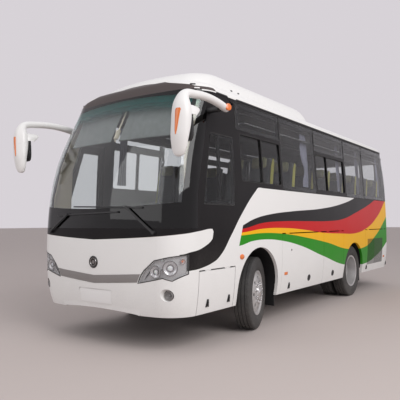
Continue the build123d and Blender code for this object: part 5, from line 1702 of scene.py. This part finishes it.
@dataclass
class Seats:
    """Passenger seats in pairs and the driver's seat, with foam pads, shells, legs and handles."""

    rows: int = 8
    first: float = 0.06
    pitch: float = 0.73
    cushion_z: float = 1.645
    lanes: tuple[float, ...] = (0.49, 0.89)
    legs: tuple[float, ...] = (0.51, 0.87)
    base: tuple[float, float] = (0.31, 1.07)
    cushion: Pad = Pad("seat_cushion_pad", (0.372, 0.415, 0.105))
    back: Pad = Pad("seat_back_pad", (0.372, 0.075, 0.74), cells=11, swell=0.010)
    rest: Pad = Pad("headrest_pad", (0.25, 0.06, 0.17), cells=6, swell=0.008)
    side_cover: Points = (
        (-0.040, -0.34), (0.045, -0.34), (0.045, 0.28), (0.030, 0.34), (-0.012, 0.34), (-0.040, 0.22),
    )
    # The handle over a back: points behind the shell, and where its upper side faces
    handle: tuple[tuple[float, float, float, float], ...] = (
        (-0.13, 0.006, 0.35, 0.0), (-0.12, 0.030, 0.372, 0.3), (0.12, 0.030, 0.372, 0.3), (0.13, 0.006, 0.35, 0.0),
    )
    driver_x: float = 0.57

    def place(self, form: Form, mesh: bpy.types.Mesh, at: Matrix) -> None:
        """Adds a copy of a pad.

        Args:
            form: the piece's form.
            mesh: the pad.
            at: its place.
        """
        before = set(form.mesh.verts)
        form.mesh.from_mesh(mesh)
        made = [vert for vert in form.mesh.verts if vert not in before]
        bmesh.ops.transform(form.mesh, matrix=at, verts=made)

    def leaning(self, x: float, y: float, low: float, lean: float, rise: float) -> Matrix:
        """Returns the place of a leaning back's middle."""
        middle = Vector((x, y + lean / 2, low + rise / 2))
        return Matrix.Translation(middle) @ Matrix.Rotation(-atan2(lean, rise), 4, "X")

    def frame(self, frames: Form, at: Matrix) -> None:
        """Adds the shell and the handle of one back.

        Args:
            frames: the frames' form.
            at: the back's place.
        """
        shell = at @ Matrix.Translation((0.0, 0.043, 0.0))
        frames.block((-0.178, -0.008, -0.36), (0.178, 0.008, 0.352), shell)
        turn = shell.to_3x3()
        path = [(shell @ Vector((x, y, z)), turn @ Vector((0.0, 1.0, rise))) for x, y, z, rise in self.handle]
        frames.sweep(path, circle(8, 0.008))

    def build(self) -> None:
        """Builds all seats in a few pieces."""
        cushion, back, rest = (pad.inflated() for pad in (self.cushion, self.back, self.rest))
        sideways = Matrix(((0, 0, 1), (1, 0, 0), (0, 1, 0))).to_4x4()
        for way, side in SIDES:
            cushions, backs, rests, frames, covers = (Form() for _ in range(5))
            for row in range(self.rows):
                y = behind(self.first + row * self.pitch)
                for lane in self.lanes:
                    x = lane * way
                    self.place(cushions, cushion, Matrix.Translation((x, y + 0.213, self.cushion_z + 0.056)))
                    at = self.leaning(x, y + 0.462, self.cushion_z + 0.03, 0.125, 0.75)
                    self.place(backs, back, at)
                    self.place(rests, rest, at @ Matrix.Translation((0.0, -0.050, 0.275)))
                    if lane == self.lanes[-1]:
                        outer = at @ Matrix.Translation((0.1975 * way, 0.0, 0.0)) @ sideways
                        covers.prism(self.side_cover, 0.0, 0.006 * way, outer)
                    self.frame(frames, at)
                for x in (leg * way for leg in self.legs):
                    frames.block((x - 0.02, y + 0.10, 1.325), (x + 0.02, y + 0.36, self.cushion_z))
                near, far = sorted(edge * way for edge in self.base)
                frames.block((near, y + 0.03, self.cushion_z - 0.022), (far, y + 0.43, self.cushion_z - 0.002))
            stand_in = cushions.piece(f"seat_cushions_{side}", Look.SEAT, slot="seat_fabric", smooth=80.0)
            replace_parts(stand_in, "seats")
            for form, name, finish in ((backs, "seat_backs", Look.SEAT), (rests, "headrests", Look.HEADREST)):
                pads = form.piece(f"{name}_{side}", finish, slot="seat_fabric", smooth=80.0)
            frames.piece(f"seat_frames_{side}", Look.GREY_TRIM, slot="grey_trim", rounded=0.003)
            covers.piece(f"seat_side_covers_{side}", Look.SEAT_SIDE, slot="grey_trim", rounded=0.002)
        self.driver(cushion, back, rest)

    def driver(self, cushion: bpy.types.Mesh, back: bpy.types.Mesh, rest: bpy.types.Mesh) -> None:
        """Builds the driver's seat on its bellows.

        Args:
            cushion: the cushion's pad.
            back: the back's pad.
            rest: the headrest's pad.
        """
        x, y = self.driver_x, behind(-1.08)
        at = self.leaning(x, y + 0.41, 1.27, 0.012, 0.74)
        pads, frames = Form(), Form()
        for mesh, place, scale in (
            (cushion, Matrix.Translation((x, y + 0.182, 1.297)), (1.22, 0.84, 1.0)),
            (back, at, (1.22, 0.9, 0.95)),
            (rest, at @ Matrix.Translation((0.0, -0.03, 0.315)), (1.1, 0.9, 0.85)),
        ):
            self.place(pads, mesh, place @ Matrix.Diagonal((*scale, 1.0)))
        seat = pads.piece("driver_seat_pads", Look.DRIVER_SEAT, slot="seat_fabric", smooth=80.0)
        frames.block((0.39, y + 0.02, 1.205), (0.75, y + 0.35, 1.238))
        for k in range(5):
            frames.block((0.42, y + 0.07, 1.06 + 0.028 * k), (0.72, y + 0.30, 1.082 + 0.028 * k))
        frames.block((0.44, y + 0.06, 0.921), (0.70, y + 0.26, 1.06))
        frames.piece("driver_seat_base", Look.BLACK_TRIM, rounded=0.004)


@dataclass(frozen=True)
class Curtain:
    """One gathered curtain: its front and rear edge behind the front axle, and whether it is tied."""

    front: float
    rear: float
    tied: bool = False


@dataclass
class Curtains:
    """Curtains on rails above the side windows."""

    rail_z: float = 2.925
    hem_z: float = 2.03
    x: float = 1.066
    lean: float = 0.055
    pleat: float = 0.045
    depth: float = 0.012
    rows: int = 30
    hung: tuple[Curtain, ...] = (
        Curtain(-0.42, -0.24), Curtain(1.72, 1.96, True), Curtain(3.30, 3.44), Curtain(4.42, 4.58),
        Curtain(5.845, 5.96),
    )

    def cloth(self, curtain: Curtain, way: int, name: str, rail: str) -> None:
        """Makes one curtain.

        Args:
            curtain: where it hangs.
            way: 1 for left and -1 for right.
            name: its name.
            rail: not used.
        """
        width = curtain.rear - curtain.front
        pleats = max(3, round(width / self.pleat))

        def at(u: float, t: float) -> Vector:
            """Returns a point from the shares along the rail and down the cloth."""
            pull = 0.45 * exp(-((t - 0.68) / 0.16) ** 2) if curtain.tied else 0.06 * sin(pi * t)
            wave = sin(2 * pi * pleats * u + 0.5 * sin(3 * t + u * 5))
            swing = self.depth * (0.55 + 0.45 * t) * wave
            z = self.rail_z + (self.hem_z - self.rail_z) * t
            inset = self.lean * (z - self.hem_z) + 0.010 * sin(4 * t + 3 * u)
            y = behind(curtain.rear - width * (1 - u) * (1.0 - pull))
            return Vector(((self.x - inset + swing) * way, y, z))

        rows = grid((i / self.rows for i in range(self.rows + 1)), pleats * 10, at)
        for low, high in zip(rows, rows[1:]):
            for a, b, c, d in zip(low, low[1:], high, high[1:]):
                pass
        cloth = moulded(name, Look.CURTAIN, rows, "seat_fabric", smooth=80.0)

    def build(self) -> None:
        """Hangs the curtains of both sides."""
        for way, side in SIDES:
            name = f"curtain_rail_{side}"
            rail = Form()
            at = (self.x - self.lean * (self.rail_z - self.hem_z)) * way
            rail.block(
                (at - 0.012, behind(-0.45), self.rail_z - 0.004), (at + 0.012, behind(5.96), self.rail_z + 0.012)
            )
            rail.piece(name, Look.GREY_TRIM, slot="grey_trim", rounded=0.003)
            for number, curtain in enumerate(self.hung):
                self.cloth(curtain, way, f"curtain_{side}_{number}", name)


@dataclass
class WindshieldTrims:
    """The green film along the top of the windshield and the pale linings inside its corners."""

    low: float = 2.74
    high: float = 3.05
    reach: float = 1.02
    film_gap: float = 0.014
    levels: tuple[float, ...] = (1.42, 1.80, 2.20, 2.60, 2.90, 3.00)
    # Angles of each lining's edges from straight ahead, in degrees, left and right
    angles: tuple[tuple[float, float], ...] = ((37.0, 47.0), (24.0, 80.0))
    lining_gap: float = 0.062

    def build(self) -> None:
        """Builds the film and both linings."""
        glass = Skin("windshield")
        rows = grid(
            spread(self.low, self.high, 12), 40,
            lambda along, z: glass.front(self.reach * (2 * along - 1), z)[0] + BACKWARD * self.film_gap,
        )
        moulded("windshield_shade", Look.SHADE, rows, "clear_glass", smooth=80.0)
        for (way, side), (first, last) in zip(SIDES, self.angles):
            skin = Skin("windshield", "front_panel", f"side_wall_{side}", "window_glass", "door_leaf", "door_glass")

            def at(along: float, z: float) -> Vector:
                """Returns a point behind the skin, looking out from inside the corner."""
                angle = radians(first + (last - first) * along)
                out = Vector((sin(angle) * way, -cos(angle), 0.0))
                start = Vector((0.86 * way, -3.30 + 0.40 * max(0.0, z - 2.3), z)) + out * 1.5
                return skin.hit(start, -out)[0] - out * self.lining_gap

            rows = grid(self.levels, 8, at)
            moulded(f"pillar_lining_{side}", Look.PALE_TRIM, rows, "grey_trim", 0.006, smooth=60.0)


@dataclass
class Blinds:
    """The two roller blinds behind the windshield, with cassettes, foot bars and the rod between them."""

    inner: float = 0.07
    outer: float = 0.89
    top: float = 2.875
    foot: float = 2.47
    behind_glass: float = 0.110

    def build(self) -> None:
        """Builds both blinds and the rod."""
        skin = Skin("windshield")
        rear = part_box("sun_blinds")[1][1] - 0.004

        def at(x: float, z: float) -> Vector:
            """Returns a point of the blind's surface."""
            return Vector((x, min(skin.front(x, z)[0].y + self.behind_glass, rear), z))

        for way, side in SIDES:
            rows = []
            for i, z in enumerate(spread(self.top, self.foot, 16)):
                xs = enumerate(spread(self.inner * way, self.outer * way, 32))
                rows.append([at(x, z) + BACKWARD * (0.0015 * sin(0.9 * k + 0.4 * i)) for k, x in xs])
            cloth = moulded(f"sun_blind_{side}", Look.BLIND, rows, "seat_fabric", smooth=80.0)
            cassette = f"blind_cassette_{side}"
            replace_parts(cloth, "sun_blinds")
            bars = Form()
            for row, radius in ((rows[0], 0.021), (rows[-1], 0.007)):
                bars.sweep([(point, FORWARD) for point in row[::4]], circle(12, radius))
            bars.piece(cassette, Look.GREY_TRIM, slot="grey_trim", smooth=50.0)
        rod = Form()
        rod.sweep([(at(0.0, z), FORWARD) for z in spread(2.47, 2.88, 6)], circle(10, 0.012, 0.009))
        grip = ((-0.028, -0.014), (0.028, -0.014), (0.028, 0.014), (-0.028, 0.014))
        rod.sweep([(at(0.0, z), FORWARD) for z in (2.50, 2.62)], grip)
        rod.piece("blind_rod", Look.PALE_TRIM, slot="grey_trim", smooth=50.0)


@dataclass
class RoofFittings:
    """Marker lamps, clips, gutter strips and the air conditioner's louvres and fans."""

    lamp: Points = (
        (-0.030, -0.008), (0.030, -0.008), (0.036, 0.0), (0.030, 0.008), (-0.030, 0.008), (-0.036, 0.0),
    )
    gutter: Points = (
        (-0.011, -0.003), (0.011, -0.003), (0.011, 0.006), (0.006, 0.009), (-0.006, 0.009), (-0.011, 0.003),
    )
    louvre: Points = ((-0.012, -0.003), (0.012, -0.003), (0.009, 0.004), (-0.009, 0.006))
    fans: tuple[float, ...] = (0.35, 0.95, 1.55)
    guard: Points = ((-0.002, 0.205), (-0.002, 0.235), (0.010, 0.232), (0.014, 0.222), (0.010, 0.208))
    well: Points = ((-0.002, 0.0), (-0.002, 0.207), (0.0005, 0.207), (0.0005, 0.0))

    def markers(self) -> None:
        """Sets the small lamps over the windshield and the clips on the roof's sides."""
        skin = Skin("roof", "air_conditioner_cover", "windshield")
        for way, side in SIDES:
            for name, (x, y, z), finish in (
                ("front", (1.03, -3.27, 3.059), Look.PLATE),
                ("corner", (0.975, -3.28, 3.115), Look.BLACK_TRIM),
            ):
                out = Vector((1.0 * way, -1.2, 0.4))
                form = Form()
                spot = skin.hit(Vector((x * way, y, z)) + out, (-out).normalized())
                form.prism(self.lamp, -0.004, 0.009, facing(*spot))
                form.piece(f"roof_marker_{name}_{side}", finish, rounded=0.002)
            for number, y in enumerate((-2.34, -2.16)):
                spot = skin.hit(Vector((3.0 * way, y, 4.2)), Vector((-2.07 * way, 0.0, -0.96)).normalized())
                form = Form()
                form.block((-0.020, -0.006, -0.002), (0.020, 0.006, 0.010), facing(*spot))
                form.piece(f"roof_clip_{side}_{number}", Look.BLACK_TRIM, rounded=0.002)

    def grilles(self) -> None:
        """Lays the air conditioner's side louvres and fan guards on its cover."""
        skin = Skin("air_conditioner_cover")
        for way, side in SIDES:
            form = Form()
            for k in range(9):
                y = behind(0.15 + 0.16 * k)
                form.sweep([skin.side(y + 0.05 * j, 3.2 + 0.03 * j, way) for j in range(3)], self.louvre)
            form.piece(f"cooler_louvres_{side}", Look.PLAIN_WHITE, slot="white_paint")
        for number, rel in enumerate(self.fans):
            place = facing(*skin.hit(Vector((0.0, behind(rel), 5.0)), -UP), BACKWARD)
            guard = Form()
            guard.lathe(self.guard, 48, place)
            for radius in (0.05, 0.09, 0.13, 0.17):
                wire = ((0.006, radius - 0.003), (0.010, radius), (0.006, radius + 0.003), (0.002, radius))
                guard.lathe(wire, 36, place)
            for k in range(8):
                spoke = place @ Matrix.Rotation(pi * k / 4, 4, "Z")
                guard.block((0.012, -0.003, 0.003), (0.215, 0.003, 0.007), spoke)
            guard.lathe(self.well, 36, place)
            guard.piece(f"cooler_fan_guard_{number}", Look.BLACK_TRIM, smooth=30.0)

    def build(self) -> None:
        """Builds the roof's fittings."""
        self.markers()
        self.grilles()
        for way, side in SIDES:
            wall = Skin(f"side_wall_{side}", "window_glass", "roof")
            form = Form()
            form.sweep([wall.side(y, 3.040, way) for y in spread(-3.02, 3.98, 60)], self.gutter)
            form.piece(f"gutter_strip_{side}", Look.BLACK_TRIM, smooth=50.0)


@dataclass
class TailFittings:
    """Rear lamp clusters, blank plate, window rubber and reflectors at the tail."""

    # The rounds of a cluster, from the top
    rounds: tuple[tuple[float, Look], ...] = (
        (1.40, Look.RED), (1.26, Look.ORANGE), (1.13, Look.BULB), (1.00, Look.RED),
    )
    lamp: Points = ((-0.012, 0.0), (-0.012, 0.052), (0.006, 0.052), (0.012, 0.046), (0.015, 0.030), (0.013, 0.0))
    ring: Points = ((-0.006, 0.053), (0.010, 0.054), (0.010, 0.062), (-0.006, 0.064))
    window: Points = ((-0.93, 1.99), (0.93, 1.99), (0.93, 2.83), (-0.93, 2.83))
    rubber: Points = ((-0.014, -0.003), (0.014, -0.003), (0.012, 0.004), (-0.012, 0.004))

    def lamps(self) -> None:
        """Makes the lamp clusters, the reflectors and the blank plate."""
        skin = Skin("tail_lamps", "rear_wall", "engine_lid")
        for way, side in SIDES:
            for number, (z, finish) in enumerate(self.rounds):
                place = facing(skin.back(1.035 * way, z)[0], Vector((0.18 * way, 1.0, 0.0)))
                turned(f"tail_round_{side}_{number}", finish, "red_lens", place, (40, self.lamp))
                turned(f"tail_ring_{side}_{number}", Look.CHROME, "grey_trim", place, (40, self.ring))
            form = Form()
            spot = skin.back(0.93 * way, 0.60)
            form.block((-0.045, -0.018, -0.002), (0.045, 0.018, 0.008), facing(*spot))
            form.piece(f"tail_reflector_{side}", Look.RED, slot="red_lens", rounded=0.002)
        rows = grid(
            (0.52, 0.58, 0.64), 10,
            lambda along, z: skin.back(-0.24 + 0.48 * along, z)[0] + BACKWARD * 0.006,
        )
        moulded("blank_plate_rear", Look.PLATE, rows, "white_paint", 0.002)

    def window_rubber(self) -> None:
        """Lays the rubber round the rear window."""
        glass = Skin("rear_wall", "window_glass")
        spots = [Vector(corner) for corner in self.window]
        path: list[Spot] = []
        for i, here in enumerate(spots):
            after = spots[(i + 1) % len(spots)]
            path += [glass.back(*spot) for spot in bend(spots[i - 1], here, after, 0.08, 5)]
            run = after - here
            start, share = 0.09 / run.length, 1 - 0.18 / run.length
            count = int(run.length / 0.12)
            path += [glass.back(*(here + run * (start + share * (k + 0.5) / count))) for k in range(count)]
        rubber = Form()
        rubber.sweep(path, self.rubber, closed=True)
        rubber.piece("rear_window_rubber", Look.SEAL, smooth=60.0)

    def build(self) -> None:
        """Builds the tail's fittings."""
        self.lamps()
        self.window_rubber()


@dataclass
class Dash:
    """Instrument faces and vents on the dashboard, and the steering wheel's rim and hub."""

    dials: tuple[float, ...] = (0.47, 0.57, 0.67)
    vents: tuple[float, ...] = (-0.15, 0.10, 0.88)
    tilt: float = 35.0
    dial: Points = ((-0.002, 0.0), (-0.002, 0.040), (0.004, 0.040), (0.005, 0.036), (0.002, 0.034), (0.002, 0.0))
    hub: Points = ((0.004, 0.0), (0.004, 0.052), (0.016, 0.050), (0.024, 0.034), (0.026, 0.0))

    def build(self) -> None:
        """Builds the dashboard's details."""
        dials, vents = Form(), Form()
        for k, x in enumerate(self.dials):
            place = facing(Vector((x, behind(-1.478), 1.452)), Vector((0.0, 1.0, 0.25)))
            dials.lathe(self.dial, 32, place)
            hand = place @ Matrix.Rotation(0.7 - 0.6 * k, 4, "Z")
            dials.block((-0.0015, 0.0, 0.002), (0.0015, 0.030, 0.0035), hand)
        dials.piece("dash_dials", Look.DARK_CHROME, slot="dark_trim")
        for x in self.vents:
            for z in (1.340 + 0.013 * k for k in range(5)):
                vents.block((x - 0.06, behind(-1.482), z), (x + 0.06, behind(-1.472), z + 0.006))
        vents.piece("dash_vents", Look.BLACK_TRIM, slot="dark_trim", rounded=0.001)
        tilt = radians(self.tilt)
        place = facing(Vector((0.57, behind(-1.31), 1.46)), Vector((0.0, sin(tilt), cos(tilt))))
        rim = [(high, 0.225 + across) for across, high in circle(12, 0.017)]
        turned("steering_wheel_rim", Look.BLACK_TRIM, "dark_trim", place, (56, rim), (32, self.hub))


@dataclass
class Studio:
    """Camera, floor and soft light."""

    focal_px: float = 494.875
    picture_px: float = 400.0
    yaw: float = 36.046
    pitch: float = 2.569
    roll: float = -0.255
    eye: tuple[float, float, float] = (4.51, -7.999, 1.451)
    sensor: float = 36.0
    ground: Finish = Finish("studio_ground", (0.52, 0.455, 0.43), 0.9)
    # Lamps: name, place and watts
    lamps: tuple[tuple[str, tuple[float, float, float], float], ...] = (
        ("key_lamp", (11.0, -5.5, 9.0), 1100.0), ("fill_lamp", (-4.0, -14.0, 7.0), 300.0),
    )
    aim: tuple[float, float, float] = (0.0, -1.0, 1.4)

    def camera(self) -> None:
        """Sets the camera at the photograph's place."""
        data = bpy.data.cameras.new("camera")
        data.sensor_width = self.sensor
        data.lens = self.sensor * self.focal_px / self.picture_px
        data.clip_end = 500.0
        camera = bpy.data.objects.new("camera", data)
        place = Matrix.Translation(self.eye)
        for degrees, axis in ((self.yaw, "Z"), (90.0 + self.pitch, "X"), (self.roll, "Z")):
            place = place @ Matrix.Rotation(radians(degrees), 4, axis)
        camera.matrix_world = place
        bpy.context.collection.objects.link(camera)
        bpy.context.scene.camera = camera

    def floor(self) -> None:
        """Lays a pale floor that runs far back."""
        shape = bmesh.new()
        bmesh.ops.create_grid(shape, x_segments=1, y_segments=1, size=120.0)
        ground = placed("studio_floor", shape)
        ground.data.materials.append(self.ground.build())

    def world(self) -> None:
        """Lights the bus from a pale sky that the camera sees as a plain backdrop."""
        world = bpy.data.worlds.new("studio")
        world.use_nodes = True
        bpy.context.scene.world = world
        graph = Graph(world.node_tree)
        light = graph.fill(world.node_tree.nodes["Background"], Color=(0.97, 0.96, 1.0, 1.0), Strength=0.62)
        seen = graph.fill(graph.node("Background"), Color=(0.68, 0.645, 0.68, 1.0), Strength=1.0)
        rays = graph.node("LightPath").outputs
        share = graph.math("MAXIMUM", rays["Is Camera Ray"], rays["Is Transmission Ray"])
        share = graph.math("MAXIMUM", share, rays["Is Glossy Ray"])
        blend = graph.node("MixShader")
        for socket, value in zip(blend.inputs, (share, light.outputs[0], seen.outputs[0])):
            graph.feed(socket, value)
        graph.fill(world.node_tree.nodes["World Output"], Surface=blend.outputs[0])

    def build(self) -> None:
        """Builds the camera, the floor and the light."""
        self.camera()
        self.floor()
        self.world()
        for name, place, watts in self.lamps:
            data = bpy.data.lights.new(name, "AREA")
            data.size = 9.0
            data.energy = watts
            lamp = bpy.data.objects.new(name, data)
            lamp.location = place
            lamp.rotation_euler = (Vector(self.aim) - Vector(place)).to_track_quat("-Z", "Y").to_euler()
            bpy.context.collection.objects.link(lamp)
        bpy.context.scene.view_settings.view_transform = "Standard"


def main() -> None:
    """Builds the scene and reports each piece."""
    logging.basicConfig(level=logging.INFO, format="%(name)s: %(message)s")
    for part in (
        Studio(), Bodywork(), Tyres(), WheelFittings(), Headlamps(), FogLamps(), NoseTrim(), SideFittings(),
        Gaskets(), Mirrors(), Seats(), Curtains(), WindshieldTrims(), Blinds(), RoofFittings(),
        TailFittings(), Dash(),
    ):
        known = set(bpy.data.objects.keys())
        part.build()
        for name in sorted(set(bpy.data.objects.keys()) - known):
            log.info("%s: %s", type(part).__name__, name)


if __name__ == "__main__":
    main()
